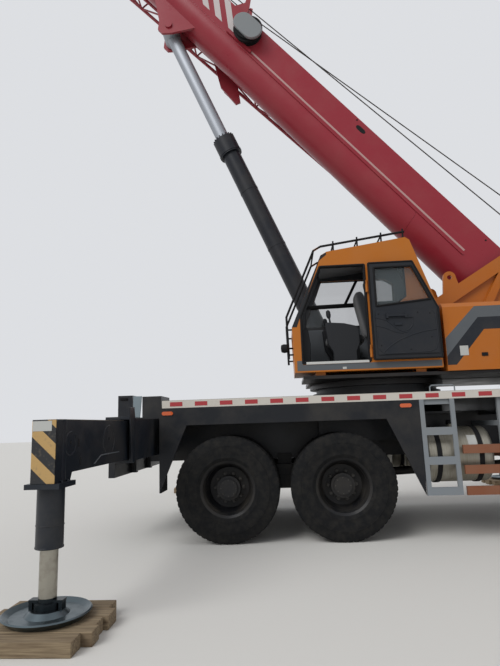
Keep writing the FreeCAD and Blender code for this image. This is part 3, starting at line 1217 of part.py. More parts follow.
def lift_points():
    eye = on_boom(LIFT_EYE_ALONG, LIFT_EYE_BELOW)
    dx, dz = eye[0] - LIFT_FOOT[0], eye[1] - LIFT_FOOT[1]
    length = math.hypot(dx, dz)
    return eye, (dx / length, dz / length), length


def lift_at(distance):
    _, (ux, uz), _ = lift_points()
    return (LIFT_FOOT[0] + ux * distance, 0, LIFT_FOOT[1] + uz * distance)


def lift_barrel():
    """Barrel with its foot eye and the wider gland at its mouth."""
    x, z = LIFT_FOOT
    foot = rod((x, -245, z), (x, 245, z), 170)
    tube = rod(lift_at(100), lift_at(LIFT_BARREL_LENGTH - LIFT_GLAND_LONG), LIFT_BARREL_R)
    gland = rod(lift_at(LIFT_BARREL_LENGTH - LIFT_GLAND_LONG), lift_at(LIFT_BARREL_LENGTH), LIFT_GLAND_R)
    bore = rod(lift_at(195), lift_at(LIFT_BARREL_LENGTH + 5), LIFT_ROD_R + FIT_GAP)
    pin = rod((x, -252, z), (x, 252, z), LIFT_PIN_R)
    return fused([foot, tube, gland, pin]).cut(bore)


def lift_rod():
    """Chromed rod with its eye round the boom's pin."""
    eye, _, length = lift_points()
    shaft = rod(lift_at(length - LIFT_ROD_LENGTH), lift_at(length - 60), LIFT_ROD_R)
    head = rod((eye[0], -LIFT_GLAND_R, eye[1]), (eye[0], LIFT_GLAND_R, eye[1]), LIFT_EYE_R)
    bore = rod((eye[0], -LIFT_GLAND_R - 5, eye[1]), (eye[0], LIFT_GLAND_R + 5, eye[1]),
               LIFT_PIN_R + FIT_GAP)
    return fused([shaft, head]).cut(bore)


# Every node by its name

def add_pair(made, kind, number, left):
    made[f"{kind}_{number}_left"] = left
    made[f"{kind}_{number}_right"] = mirrored(left)


def nodes():
    made = {
        "chassis_frame": fused([chassis_frame(), rear_bumper()] + valve_boxes()),
        "deck": deck(),
        "driver_cab": driver_cab(),
        "driver_cab_glass": driver_glass(),
        "driver_cab_interior": driver_interior(),
        "driveline": driveline(),
        "fuel_tanks": fuel_tanks(),
        "side_steps": side_steps(),
        "lamps": lamps(),
        "timber_mats": timber_mats(),
        "turntable_frame": turntable_frame(),
        "machinery_hoods": machinery_hoods(),
        "counterweight": counterweight(),
        "winches": winches(),
        "operator_cab": operator_cab(),
        "operator_cab_glass": operator_glass(),
        "operator_cab_interior": operator_interior(),
        "operator_door": operator_door(),
        "boom_base": boom_base(),
        "stowed_jib": stowed_jib(),
        "hook_block": hook_block(),
        "lift_barrel": lift_barrel(),
        "lift_rod": lift_rod(),
    }
    for level in range(1, SECTION_COUNT):
        made[f"boom_section_{level + 1}"] = telescope(level)
    for number, x in enumerate(STEER_AXLES_X, 1):
        add_pair(made, "knuckle", number, knuckle(x))
        add_pair(made, "tyre", number, tyre(x, FRONT_WHEEL_Y))
        add_pair(made, "rim", number, front_rim(x))
    for number, x in enumerate(DRIVE_AXLES_X, len(STEER_AXLES_X) + 1):
        add_pair(made, "tyre", number, twin_tyres(x))
        add_pair(made, "rim", number, rear_rims(x))
    made["driver_door_left"] = driver_door()
    made["driver_door_right"] = mirrored(made["driver_door_left"])
    for end, side in OUTRIGGER_X:
        made[f"outrigger_stage1_{end}_{side}"] = stage1(end, side)
        made[f"outrigger_stage2_{end}_{side}"] = stage2(end, side)
        made[f"outrigger_jack_{end}_{side}"] = jack_foot(end, side)
    return made


def main():
    os.makedirs("parts", exist_ok=True)
    for name, shape in nodes().items():
        solids = shape.Solids
        shape = solids[0] if len(solids) == 1 else Part.Compound(solids)
        shape.translate(Vector(MODEL_SHIFT_X, 0, 0))
        if not shape.isValid():
            print("not valid:", name)
        shape.exportStep(f"parts/{name}.step")
        print(f"{name}: {len(solids)} solids, {shape.Volume / 1e9:.4f} m3, {len(shape.Faces)} faces")


if __name__ == "__main__":
    main()
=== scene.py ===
import json
import math

import bmesh
import bpy
from mathutils import Matrix, Vector


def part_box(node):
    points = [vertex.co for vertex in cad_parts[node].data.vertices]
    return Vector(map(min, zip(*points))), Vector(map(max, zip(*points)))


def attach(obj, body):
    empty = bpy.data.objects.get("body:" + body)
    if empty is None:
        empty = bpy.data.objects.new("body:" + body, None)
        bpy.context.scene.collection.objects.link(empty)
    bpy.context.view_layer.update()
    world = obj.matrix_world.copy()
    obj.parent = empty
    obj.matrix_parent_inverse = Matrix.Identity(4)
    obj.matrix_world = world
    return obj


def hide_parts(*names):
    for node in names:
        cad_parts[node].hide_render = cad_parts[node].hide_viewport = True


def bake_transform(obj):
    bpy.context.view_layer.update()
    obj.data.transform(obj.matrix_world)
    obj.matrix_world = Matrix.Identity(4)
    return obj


# A four-axle truck crane on its outriggers, with the boom raised over its rear. Lengths
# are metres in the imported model's frame: +X the carrier's front, +Y its left, +Z up.
# The crane is laid out from its slewing axis and its foot pin, read from the joints.
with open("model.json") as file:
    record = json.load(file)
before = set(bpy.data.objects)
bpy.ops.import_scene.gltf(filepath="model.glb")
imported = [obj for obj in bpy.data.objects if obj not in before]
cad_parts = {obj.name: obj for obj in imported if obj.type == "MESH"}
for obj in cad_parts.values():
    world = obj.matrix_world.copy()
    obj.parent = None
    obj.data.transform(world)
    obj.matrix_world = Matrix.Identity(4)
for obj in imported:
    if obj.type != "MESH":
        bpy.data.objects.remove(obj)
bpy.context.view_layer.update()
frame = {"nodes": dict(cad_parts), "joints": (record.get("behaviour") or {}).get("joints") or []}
joint_at = {joint["name"]: Vector(joint["pos_m"])
            for joint in frame["joints"] if "pos_m" in joint}
slew = joint_at["slew"]


def from_slew(x, y, z):
    return Vector((slew.x + x, y, z))


# The photographer stands low beside the carrier's right flank, some six metres off, with
# a short wide lens tilted up, so that the boom leaves the top of the frame.
camera = bpy.data.objects.new("camera", bpy.data.cameras.new("camera"))
camera.data.sensor_fit = "VERTICAL"
camera.data.sensor_width = camera.data.sensor_height = 24.0
camera.data.lens = 18.643
right = Vector((0.99704, 0.06994, -0.03184))
up = Vector((0.04348, -0.17187, 0.98416))
forward = Vector((-0.06336, 0.98263, 0.17440))
camera.matrix_world = Matrix.Translation(from_slew(-1.2766, -7.5346, 1.3488)) @ Matrix(
    (right, up, -forward)).transposed().to_4x4()
bpy.context.scene.collection.objects.link(camera)
bpy.context.scene.camera = camera


# Finishes. A finish is one Principled surface; its colours are sRGB hex values, and its
# patterns are sized in millimetres on the frame's own coordinates.
def linear(code):
    """An sRGB hex code as linear red, green, blue and alpha."""
    parts = [int(code[i:i + 2], 16) / 255 for i in (1, 3, 5)]
    return tuple(c / 12.92 if c <= 0.04045 else ((c + 0.055) / 1.055) ** 2.4 for c in parts) + (1.0,)


def add_node(tree, kind, inputs=None, **settings):
    """Adds a node with its settings; inputs name a value or the socket that feeds it."""
    made = tree.nodes.new(kind)
    for name, value in settings.items():
        setattr(made, name, value)
    for name, value in (inputs or {}).items():
        if isinstance(value, bpy.types.NodeSocket):
            tree.links.new(value, made.inputs[name])
        else:
            made.inputs[name].default_value = value
    return made.outputs[0]


def new_finish(name, **sockets):
    """A material with one Principled surface and its sockets set, and the frame's coordinates."""
    material = bpy.data.materials.new(name)
    material.use_nodes = True
    tree = material.node_tree
    surface = tree.nodes["Principled BSDF"]
    for key, value in sockets.items():
        surface.inputs[key.replace("_", " ")].default_value = value
    place = tree.nodes.new("ShaderNodeTexCoord").outputs["Object"]
    return material, tree, surface, place


def per_mm(size):
    """A pattern's scale for features of this many millimetres, in a frame of metres."""
    return 1000.0 / size


# The studio: a pale matt floor, an even pale sky that the camera and shiny parts see as
# white, and one broad soft sun high over the camera's left shoulder.
floor_mesh = bpy.data.meshes.new("floor")
floor_mesh.from_pydata([(-60, -60, 0), (60, -60, 0), (60, 60, 0), (-60, 60, 0)], [], [(0, 1, 2, 3)])
floor = bpy.data.objects.new("floor", floor_mesh)
bpy.context.scene.collection.objects.link(floor)
floor_finish = new_finish("studio_floor", Base_Color=linear("#D9D7D2"), Roughness=0.9)[0]
floor_mesh.materials.append(floor_finish)

world = bpy.data.worlds.new("studio")
world.use_nodes = True
bpy.context.scene.world = world
sky = world.node_tree
sky_light = sky.nodes["Background"]
sky_light.inputs["Color"].default_value = linear("#F4F6FA")
rays = sky.nodes.new("ShaderNodeLightPath")
seen = add_node(sky, "ShaderNodeMath", {0: rays.outputs["Is Camera Ray"], 1: rays.outputs["Is Glossy Ray"]},
                operation="MAXIMUM")
seen = add_node(sky, "ShaderNodeMath", {0: seen, 1: rays.outputs["Is Transmission Ray"]}, operation="MAXIMUM")
strength = add_node(sky, "ShaderNodeMapRange", {"Value": seen, "To Min": 0.58, "To Max": 0.8})
sky.links.new(strength, sky_light.inputs["Strength"])

sun = bpy.data.objects.new("sun", bpy.data.lights.new("sun", "SUN"))
sun.data.energy = 1.7
sun.data.angle = math.radians(35)
sun.rotation_euler = (math.radians(48), math.radians(-14), math.radians(-28))
bpy.context.scene.collection.objects.link(sun)
bpy.context.scene.view_settings.view_transform = "Standard"


# Chassis: welded high-tensile plate, sprayed in dark blue-grey enamel over primer. Its
# finish is a hard semi-gloss skin that dust dulls on the faces that look up.
def sprayed_enamel(name, colour, roughness=0.34, grime=0.25, zones=()):
    """Enamel sprayed on steel; zones are (low corner, high corner, colour) boxes masked off in other colours."""
    material, tree, surface, place = new_finish(
        name, Roughness=roughness, Specular_IOR_Level=0.3, Coat_Weight=0.08, Coat_Roughness=0.2)
    shade = add_node(tree, "ShaderNodeRGB")
    shade.default_value = linear(colour)
    for low, high, other in zones:
        low, high = Vector(low), Vector(high)
        offset = add_node(tree, "ShaderNodeMapping", {"Vector": place, "Location": (low + high) / 2,
                                                      "Scale": (high - low) / 2}, vector_type="TEXTURE")
        reach = add_node(tree, "ShaderNodeVectorMath", {0: offset}, operation="ABSOLUTE")
        axes = tree.nodes.new("ShaderNodeSeparateXYZ")
        tree.links.new(reach, axes.inputs[0])
        far = add_node(tree, "ShaderNodeMath", {0: axes.outputs[0], 1: axes.outputs[1]}, operation="MAXIMUM")
        far = add_node(tree, "ShaderNodeMath", {0: far, 1: axes.outputs[2]}, operation="MAXIMUM")
        inside = add_node(tree, "ShaderNodeMath", {0: far, 1: 1.0}, operation="LESS_THAN")
        shade = add_node(tree, "ShaderNodeMixRGB", {"Fac": inside, "Color1": shade, "Color2": linear(other)})
    patches = add_node(tree, "ShaderNodeTexNoise", {"Vector": place, "Scale": per_mm(420), "Detail": 7.0,
                                                    "Roughness": 0.62})
    facing = tree.nodes.new("ShaderNodeNewGeometry").outputs["Normal"]
    axes = tree.nodes.new("ShaderNodeSeparateXYZ")
    tree.links.new(facing, axes.inputs[0])
    settled = add_node(tree, "ShaderNodeMapRange", {"Value": axes.outputs[2], "From Min": -0.2, "From Max": 1.0,
                                                    "To Min": 0.35, "To Max": 1.0})
    dust = add_node(tree, "ShaderNodeMapRange", {"Value": patches, "From Min": 0.42, "From Max": 0.75,
                                                 "To Max": grime})
    dust = add_node(tree, "ShaderNodeMath", {0: dust, 1: settled}, operation="MULTIPLY")
    shade = add_node(tree, "ShaderNodeMixRGB", {"Fac": dust, "Color1": shade, "Color2": linear("#8E8473")})
    tree.links.new(shade, surface.inputs["Base Color"])
    dulled = add_node(tree, "ShaderNodeMapRange", {"Value": patches, "From Min": 0.3, "From Max": 0.8,
                                                   "To Min": roughness, "To Max": roughness + 0.22})
    tree.links.new(dulled, surface.inputs["Roughness"])
    peel = add_node(tree, "ShaderNodeTexNoise", {"Vector": place, "Scale": per_mm(18), "Detail": 2.0})
    relief = add_node(tree, "ShaderNodeBump", {"Height": peel, "Strength": 0.05, "Distance": 0.002})
    tree.links.new(relief, surface.inputs["Normal"])
    return material


def finish_node(name, material):
    """Gives a CAD node its finish in place of the plain one."""
    slots = frame["nodes"][name].data.materials
    slots.clear()
    slots.append(material)


chassis_enamel = sprayed_enamel("chassis_enamel", "#15181E")
finish_node("chassis_frame", chassis_enamel)


# Deck: chequered steel plate with turned-down side skirts, the edge rail painted white.
# A band of red reflective film is stuck along the rail every 300 mm.
def box_form(low, high, place=Vector):
    corners = [place((x, y, z)) for x in (low[0], high[0]) for y in (low[1], high[1]) for z in (low[2], high[2])]
    return corners, [(0, 1, 3, 2), (4, 6, 7, 5), (0, 4, 5, 1), (2, 3, 7, 6), (0, 2, 6, 4), (1, 5, 7, 3)]


def plate_form(outline, near, far, place=Vector, axis=1):
    """A flat plate cut to an outline across one axis and pressed between near and far."""
    count = len(outline)
    points = []
    for depth in (near, far):
        for a, b in outline:
            point = [a, b]
            point.insert(axis, depth)
            points.append(place(point))
    sides = [(i, (i + 1) % count, count + (i + 1) % count, count + i) for i in range(count)]
    return points, [tuple(range(count)), tuple(range(2 * count - 1, count - 1, -1))] + sides


def tube_form(points, radius, sides=10):
    """Round bar or hose drawn through points, with closed ends."""
    points = [Vector(p) for p in points]
    rings, faces, side = [], [], None
    for i, point in enumerate(points):
        along = (points[min(i + 1, len(points) - 1)] - points[max(i - 1, 0)]).normalized()
        if side is None:
            side = along.orthogonal().normalized()
        side = (side - along * side.dot(along)).normalized()
        other = along.cross(side)
        turn = 2 * math.pi / sides
        rings += [point + radius * (math.cos(turn * k) * side + math.sin(turn * k) * other) for k in range(sides)]
    for i in range(len(points) - 1):
        for k in range(sides):
            n = (k + 1) % sides
            faces.append((i * sides + k, i * sides + n, (i + 1) * sides + n, (i + 1) * sides + k))
    faces += [tuple(range(sides)), tuple(range(len(rings) - sides, len(rings)))]
    return rings, faces


def turned_form(profile, centre, axis, steps=40, closed=False):
    """Turns (radius, height) points about an axis through centre; closed joins the last to the first."""
    axis = Vector(axis).normalized()
    side = axis.orthogonal().normalized()
    other = axis.cross(side)
    points, faces = [], []
    for k in range(steps):
        a = 2 * math.pi * k / steps
        out = math.cos(a) * side + math.sin(a) * other
        points += [Vector(centre) + out * radius + axis * height for radius, height in profile]
    count = len(profile)
    for k in range(steps):
        n = (k + 1) % steps
        for i in range(count if closed else count - 1):
            j = (i + 1) % count
            faces.append((k * count + i, k * count + j, n * count + j, n * count + i))
    return points, faces


def piece(name, forms, finish, body, rounding=0.0, standing_for=()):
    """One object from its forms, with worn edges where rounding is given, riding on a body."""
    points, faces = [], []
    for form_points, form_faces in forms:
        faces += [[len(points) + i for i in face] for face in form_faces]
        points += [tuple(p) for p in form_points]
    mesh = bpy.data.meshes.new(name)
    mesh.from_pydata(points, [], faces)
    shape = bmesh.new()
    shape.from_mesh(mesh)
    bmesh.ops.remove_doubles(shape, verts=shape.verts, dist=1e-6)
    bmesh.ops.recalc_face_normals(shape, faces=shape.faces)
    shape.to_mesh(mesh)
    shape.free()
    mesh.shade_smooth()
    mesh.set_sharp_from_angle(angle=math.radians(32))
    mesh.materials.append(finish)
    made = bpy.data.objects.new(name, mesh)
    bpy.context.scene.collection.objects.link(made)
    if rounding:
        edges = made.modifiers.new("worn_edges", "BEVEL")
        edges.width, edges.segments, edges.angle_limit = rounding, 2, math.radians(32)
        edges.limit_method = "ANGLE"
    if standing_for:
        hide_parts(*standing_for)
    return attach(made, body) if body else made


deck_low, deck_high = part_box("deck")
DECK_TOP, RAIL_HIGH, DECK_SIDE = 1.662, 0.089, 1.375
rear_end, deck_front = deck_low.x, deck_high.x
engine_cover = (from_slew(4.63, -0.64, DECK_TOP + 0.003), from_slew(5.57, 0.64, 2.22))
deck_enamel = sprayed_enamel("deck_enamel", "#0F1218", grime=0.2, zones=[
    ((rear_end + 0.028, -DECK_SIDE - 0.01, DECK_TOP - RAIL_HIGH), (deck_front + 0.01, -DECK_SIDE + 0.026, DECK_TOP + 0.002),
     "#C6C1B8"),
    ((rear_end + 0.028, DECK_SIDE - 0.026, DECK_TOP - RAIL_HIGH), (deck_front + 0.01, DECK_SIDE + 0.01, DECK_TOP + 0.002),
     "#C6C1B8"),
    (*engine_cover, "#17191D")])
finish_node("deck", deck_enamel)

reflective_red = new_finish("reflective_film", Base_Color=linear("#A3242A"), Roughness=0.35, Coat_Weight=0.4)[0]
film = []
for side in (-1, 1):
    for k in range(27):
        x = -2.66 + 0.3 * k
        film.append(box_form(from_slew(x, side * DECK_SIDE - 0.002, DECK_TOP - 0.07),
                             from_slew(x + 0.15, side * DECK_SIDE + 0.002, DECK_TOP - 0.02)))
piece("rail_film", film, reflective_red, "carrier")

# Chequer plate: rolled tear-shaped lugs, drawn 60 mm apart on the deck's walking surface.
def chequer_plate(name, colour):
    material, tree, surface, place = new_finish(name, Base_Color=linear(colour), Roughness=0.5, Metallic=0.0)
    flat = add_node(tree, "ShaderNodeMapping", {"Vector": place, "Rotation": (0, 0, math.radians(45)),
                                                "Scale": (per_mm(60), per_mm(60), 1.0)})
    lugs = add_node(tree, "ShaderNodeTexVoronoi", {"Vector": flat, "Scale": 1.0, "Randomness": 0.0},
                    voronoi_dimensions="2D")
    height = add_node(tree, "ShaderNodeMapRange", {"Value": lugs, "From Min": 0.15, "From Max": 0.32,
                                                   "To Min": 1.0, "To Max": 0.0})
    tree.links.new(add_node(tree, "ShaderNodeBump", {"Height": height, "Strength": 0.7, "Distance": 0.004}),
                   surface.inputs["Normal"])
    worn = add_node(tree, "ShaderNodeTexNoise", {"Vector": place, "Scale": per_mm(700), "Detail": 8.0})
    shade = add_node(tree, "ShaderNodeMixRGB", {"Fac": worn, "Color1": linear(colour), "Color2": linear("#6B655B")})
    tree.links.new(shade, surface.inputs["Base Color"])
    return material


deck_plate = chequer_plate("chequer_plate", "#202125")
treads = [box_form(from_slew(-2.74, -1.34, DECK_TOP), from_slew(-0.98, 1.34, DECK_TOP + 0.004))]
treads += [box_form(from_slew(-0.98, side * 1.17 - 0.17, DECK_TOP), from_slew(0.98, side * 1.17 + 0.17, DECK_TOP + 0.004))
           for side in (-1, 1)]
treads.append(box_form(from_slew(0.98, -1.34, DECK_TOP), from_slew(4.6, 1.34, DECK_TOP + 0.004)))
piece("deck_treads", treads, deck_plate, "carrier")

# Grab handles: bent 16 mm bar welded to the deck's edge over the ladders, in grey enamel.
step_enamel = sprayed_enamel("step_enamel", "#7B8186", grime=0.35)
handles = []
for side in (-1, 1):
    y = side * (DECK_SIDE - 0.012)
    handles.append(tube_form([from_slew(0.40, y, DECK_TOP), from_slew(0.40, y, DECK_TOP + 0.05),
                              from_slew(0.42, y, DECK_TOP + 0.07), from_slew(0.66, y, DECK_TOP + 0.07),
                              from_slew(0.68, y, DECK_TOP + 0.05), from_slew(0.68, y, DECK_TOP)], 0.008))
piece("deck_handles", handles, step_enamel, "carrier")


# Side ladders and guard bars: folded steel strip in grey enamel, and box bars in a faded
# terracotta enamel, bolted to stays. The ladder's rungs are flat treads.
ladder_zone = [(from_slew(0.69, side * 1.3525 - 0.035, 0.48), from_slew(2.58, side * 1.3525 + 0.035, 1.06), "#7E4C33")
               for side in (-1, 1)]
finish_node("side_steps", sprayed_enamel("steps_and_guards", "#7B8186", grime=0.4, zones=ladder_zone))
bolts = []
for side in (-1, 1):
    for z in (0.543, 0.773, 0.998):
        for x in (1.18, 2.38):
            bolts.append(turned_form([(0, 0.012), (0.011, 0.012), (0.013, 0.006), (0.013, 0)],
                                     from_slew(x, side * 1.37, z), (0, side, 0), 6))
piece("guard_bolts", bolts, step_enamel, "carrier")


# Fuel and oil tanks: rolled aluminium drums, dull from weather, with rubber-lined straps
# and a black screw cap. The grain of the rolled sheet runs round them.
def rolled_aluminium(name, colour="#A9A69C", roughness=0.46):
    material, tree, surface, place = new_finish(name, Metallic=0.75, Roughness=roughness)
    grain = add_node(tree, "ShaderNodeMapping", {"Vector": place, "Scale": (per_mm(6), per_mm(160), per_mm(160))})
    lines = add_node(tree, "ShaderNodeTexNoise", {"Vector": grain, "Scale": 1.0, "Detail": 3.0})
    stains = add_node(tree, "ShaderNodeTexNoise", {"Vector": place, "Scale": per_mm(260), "Detail": 6.0})
    mixed = add_node(tree, "ShaderNodeMath", {0: lines, 1: stains}, operation="MULTIPLY")
    fade = add_node(tree, "ShaderNodeMapRange", {"Value": mixed, "From Min": 0.12, "From Max": 0.42})
    shade = add_node(tree, "ShaderNodeMixRGB", {"Fac": fade, "Color1": linear("#857F70"), "Color2": linear(colour)})
    tree.links.new(shade, surface.inputs["Base Color"])
    return material


finish_node("fuel_tanks", rolled_aluminium("tank_aluminium"))
# This black finish serves moulded rubber, and it is also laid over the holes in the outrigger beams and the boom as
# painted shade.
black_rubber_and_hole_shade = new_finish("moulded_rubber_and_hole_shade", Base_Color=linear("#0F0F11"), Roughness=0.8, Specular_IOR_Level=0.3)[0]
straps, caps = [], []
for side in (-1, 1):
    axis_y = side * 0.985
    for x in (0.44, 0.91):
        straps.append(turned_form([(0.3195, -0.004), (0.3295, -0.004), (0.3295, 0.049), (0.3195, 0.049)],
                                  from_slew(x, axis_y, 0.93), (1, 0, 0), 64, closed=True))
    caps.append(turned_form([(0, 0.05), (0.05, 0.05), (0.058, 0.042), (0.06, 0), (0, 0)],
                            from_slew(0.73, axis_y - side * 0.06, 1.28), (0, 0, 1), 20))
piece("tank_straps", straps + caps, black_rubber_and_hole_shade, "carrier")
plates = []
for side in (-1, 1):
    arc = [(side * (0.985 + radius * math.cos(math.radians(a))), 0.93 + radius * math.sin(math.radians(a)))
           for radius, sweep in ((0.3215, range(19, 46, 3)), (0.3193, range(43, 18, -3))) for a in sweep]
    plates.append(plate_form(arc, slew.x + 0.80, slew.x + 0.90, axis=0))
blank_plate = new_finish("printed_plate", Base_Color=linear("#B4B5B1"), Roughness=0.4)[0]
piece("tank_plates", plates, blank_plate, "carrier")


# Marker lamps: amber acrylic lenses on the skirts, and red and amber clusters on the
# rear bar; the headlamps are clear polycarbonate over bright bowls.
lamp_low, lamp_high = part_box("lamps")
lens = new_finish("moulded_acrylic", Base_Color=linear("#C8561E"), Roughness=0.12, Coat_Weight=0.5)[0]
finish_node("lamps", lens)
clear_lens = new_finish("clear_polycarbonate", Base_Color=linear("#E8ECEE"), Roughness=0.08, Metallic=0.4)[0]
red_lens = new_finish("red_acrylic", Base_Color=linear("#A3141A"), Roughness=0.12, Coat_Weight=0.5)[0]
rims = []
heads = []
for side in (-1, 1):
    for y, radius in ((0.98, 0.085), (0.76, 0.07)):
        centre = Vector((lamp_high.x - 0.012, side * y, 0.76))
        heads.append(turned_form([(0, 0.016), (radius * 0.5, 0.014), (radius * 0.86, 0.008), (radius * 0.9, 0)],
                                 centre, (1, 0, 0), 36))
        rims.append(turned_form([(radius * 0.9, 0.0), (radius * 0.9, 0.014), (radius + 0.012, 0.014), (radius + 0.016, 0.0)],
                                centre, (1, 0, 0), 36, closed=True))
piece("headlamp_lenses", heads, clear_lens, "carrier")
piece("headlamp_rims", rims, black_rubber_and_hole_shade, "carrier")
tails = [box_form((lamp_low.x - 0.006, side * 0.76 + a, 0.815), (lamp_low.x + 0.004, side * 0.76 + b, 0.905))
         for side in (-1, 1) for a, b in ((-0.205, -0.08), (0.08, 0.205))]
piece("tail_lenses", tails, red_lens, "carrier", rounding=0.004)


# Tyres: radial truck tyres of black rubber, moulded with a lug at each shoulder and four
# grooves round the tread. The rubber is matt, and dust greys the tread and the bulge.
def tyre_rubber(name, colour="#0E0F11"):
    material, tree, surface, place = new_finish(name, Roughness=0.85, Specular_IOR_Level=0.25)
    dirt = add_node(tree, "ShaderNodeTexNoise", {"Vector": place, "Scale": per_mm(90), "Detail": 8.0, "Roughness": 0.7})
    dirt = add_node(tree, "ShaderNodeMapRange", {"Value": dirt, "From Min": 0.42, "From Max": 0.8, "To Max": 0.3})
    shade = add_node(tree, "ShaderNodeMixRGB", {"Fac": dirt, "Color1": linear(colour), "Color2": linear("#48443D")})
    tree.links.new(shade, surface.inputs["Base Color"])
    return material


def tyre_form(centre, radius, width, steps=224):
    """A tyre's outside with its bead, ribbed sidewalls, shoulder lugs and grooved tread."""
    half = width / 2
    wall = [(0.110, 0.311), (0.128, 0.335), (0.143, 0.36), (0.1455, 0.366), (0.1435, 0.372), (0.152, 0.41), (half, 0.455),
            (half - 0.0015, 0.49), (half + 0.001, 0.494), (half - 0.004, 0.498), (half - 0.012, 0.54)]
    shoulder = [(half - 0.021, radius - 0.030, 1), (half - 0.031, radius - 0.008, 1), (half - 0.045, radius, 1),
                (0.078, radius, 1), (0.0775, radius, 0), (0.0765, radius, 0)]
    groove = [(0.076, radius - 0.014, 0), (0.064, radius - 0.014, 0), (0.0635, radius, 0), (0.018, radius, 0),
              (0.0175, radius - 0.014, 0), (0.006, radius - 0.014, 0), (0.0055, radius, 0)]
    one = [(y, r, 0) for y, r in wall] + shoulder + groove
    profile = one + [(-y, r, kind) for y, r, kind in reversed(one)]
    points, faces, count = [], [], len(profile)
    for k in range(steps):
        a = 2 * math.pi * k / steps
        cut = 0.008 if k % 4 == 0 else 0.0
        for y, r, kind in profile:
            lift = r - cut if kind else r
            zigzag = 0.5 if abs(y) < 0.077 and (k // 4) % 2 else 0.0
            points.append(Vector(centre) + Vector((lift * math.cos(a), y + 0.006 * zigzag, lift * math.sin(a))))
    for k in range(steps):
        n = (k + 1) % steps
        faces += [(k * count + i, k * count + i + 1, n * count + i + 1, n * count + i) for i in range(count - 1)]
    return points, faces


rubber = tyre_rubber("tyre_rubber")
wheel_enamel = sprayed_enamel("wheel_enamel", "#101114", roughness=0.5, grime=0.22)
nut_steel = sprayed_enamel("nut_steel", "#3A3938", roughness=0.5, grime=0.4)
for number in (1, 2, 3, 4):
    for side in ("left", "right"):
        node_name, out = f"tyre_{number}_{side}", 1 if side == "left" else -1
        low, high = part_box(node_name)
        centre, radius = (low + high) / 2, (high.z - low.z) / 2
        twin = high.y - low.y > 0.5
        spots = [-0.175, 0.175] if twin else [0.0]
        piece(f"road_tyre_{number}_{side}", [tyre_form(centre + Vector((0, y, 0)), radius, 0.315) for y in spots],
              rubber, f"wheel_{number}_{side}", standing_for=(node_name,))
        finish_node(f"rim_{number}_{side}", wheel_enamel)
        if not twin:
            finish_node(f"knuckle_{number}_{side}", chassis_enamel)
        face = 0.048 if twin else 0.056
        reach = 0.036
        fasteners = []
        for k in range(10):
            a = 2 * math.pi * k / 10
            spot = centre + Vector((0.1675 * math.cos(a), out * (face + 0.001), 0.1675 * math.sin(a)))
            fasteners.append(turned_form([(0, reach + 0.006), (0.010, reach + 0.006), (0.012, reach), (0.0185, reach),
                                          (0.0205, reach - 0.006), (0.0205, 0.003), (0.026, 0.0), (0, 0)],
                                         spot, (0, out, 0), 6))
        hub = 0.2 if twin else 0.125
        cap_radius = 0.105 if twin else 0.122
        fasteners += [turned_form([(0, 0.006), (0.006, 0.006), (0.007, 0)], centre + Vector((
            (cap_radius - 0.016) * math.cos(math.pi * k / 4), out * hub, (cap_radius - 0.016) * math.sin(math.pi * k / 4))),
            (0, out, 0), 6) for k in range(8)]
        piece(f"wheel_nuts_{number}_{side}", fasteners, nut_steel, f"wheel_{number}_{side}")
finish_node("driveline", sprayed_enamel("driveline_enamel", "#111113", roughness=0.55, grime=0.35))


# Outriggers: box beams of welded plate that slide one in the other, in the chassis
# enamel. Each inner beam's end cap is masked in black and straw-yellow hazard stripes.
def hazard_stripes(name, dark, pale, slope, pitch, start):
    """Enamel striped at a slope: dark, then pale, counted along X and up Z from a start on X."""
    material, tree, surface, place = new_finish(name, Roughness=0.42, Coat_Weight=0.2)
    axes = tree.nodes.new("ShaderNodeSeparateXYZ")
    tree.links.new(place, axes.inputs[0])
    risen = add_node(tree, "ShaderNodeMath", {0: axes.outputs[2], 1: slope}, operation="MULTIPLY")
    run = add_node(tree, "ShaderNodeMath", {0: axes.outputs[0], 1: risen}, operation="ADD")
    run = add_node(tree, "ShaderNodeMath", {0: run, 1: start}, operation="SUBTRACT")
    share = add_node(tree, "ShaderNodeMath", {0: run, 1: pitch}, operation="DIVIDE")
    share = add_node(tree, "ShaderNodeMath", {0: share}, operation="FRACT")
    band = add_node(tree, "ShaderNodeMath", {0: share, 1: 0.5}, operation="GREATER_THAN")
    scuffs = add_node(tree, "ShaderNodeTexNoise", {"Vector": place, "Scale": per_mm(30), "Detail": 8.0})
    scuffs = add_node(tree, "ShaderNodeMapRange", {"Value": scuffs, "From Min": 0.55, "From Max": 0.75, "To Max": 0.5})
    shade = add_node(tree, "ShaderNodeMixRGB", {"Fac": band, "Color1": linear(dark), "Color2": linear(pale)})
    shade = add_node(tree, "ShaderNodeMixRGB", {"Fac": scuffs, "Color1": shade, "Color2": linear("#6E6453")})
    tree.links.new(shade, surface.inputs["Base Color"])
    return material


def turned_steel(name, colour, roughness=0.32, grime=0.3, foot=()):
    """Bare turned or ground steel, browned in patches by handling and rain; below each (height, colour) of foot the steel is painted."""
    material, tree, surface, place = new_finish(name, Metallic=0.9)
    stains = add_node(tree, "ShaderNodeTexNoise", {"Vector": place, "Scale": per_mm(60), "Detail": 7.0})
    stains = add_node(tree, "ShaderNodeMapRange", {"Value": stains, "From Min": 0.48, "From Max": 0.75, "To Max": grime})
    shade = add_node(tree, "ShaderNodeMixRGB", {"Fac": stains, "Color1": linear(colour), "Color2": linear("#5A4C3E")})
    for height, paint in foot:
        axes = tree.nodes.new("ShaderNodeSeparateXYZ")
        tree.links.new(place, axes.inputs[0])
        low = add_node(tree, "ShaderNodeMath", {0: axes.outputs[2], 1: height}, operation="LESS_THAN")
        shade = add_node(tree, "ShaderNodeMixRGB", {"Fac": low, "Color1": shade, "Color2": linear(paint)})
    tree.links.new(shade, surface.inputs["Base Color"])
    tree.links.new(add_node(tree, "ShaderNodeMapRange", {"Value": stains, "To Min": roughness, "To Max": 0.75}),
                   surface.inputs["Roughness"])
    return material


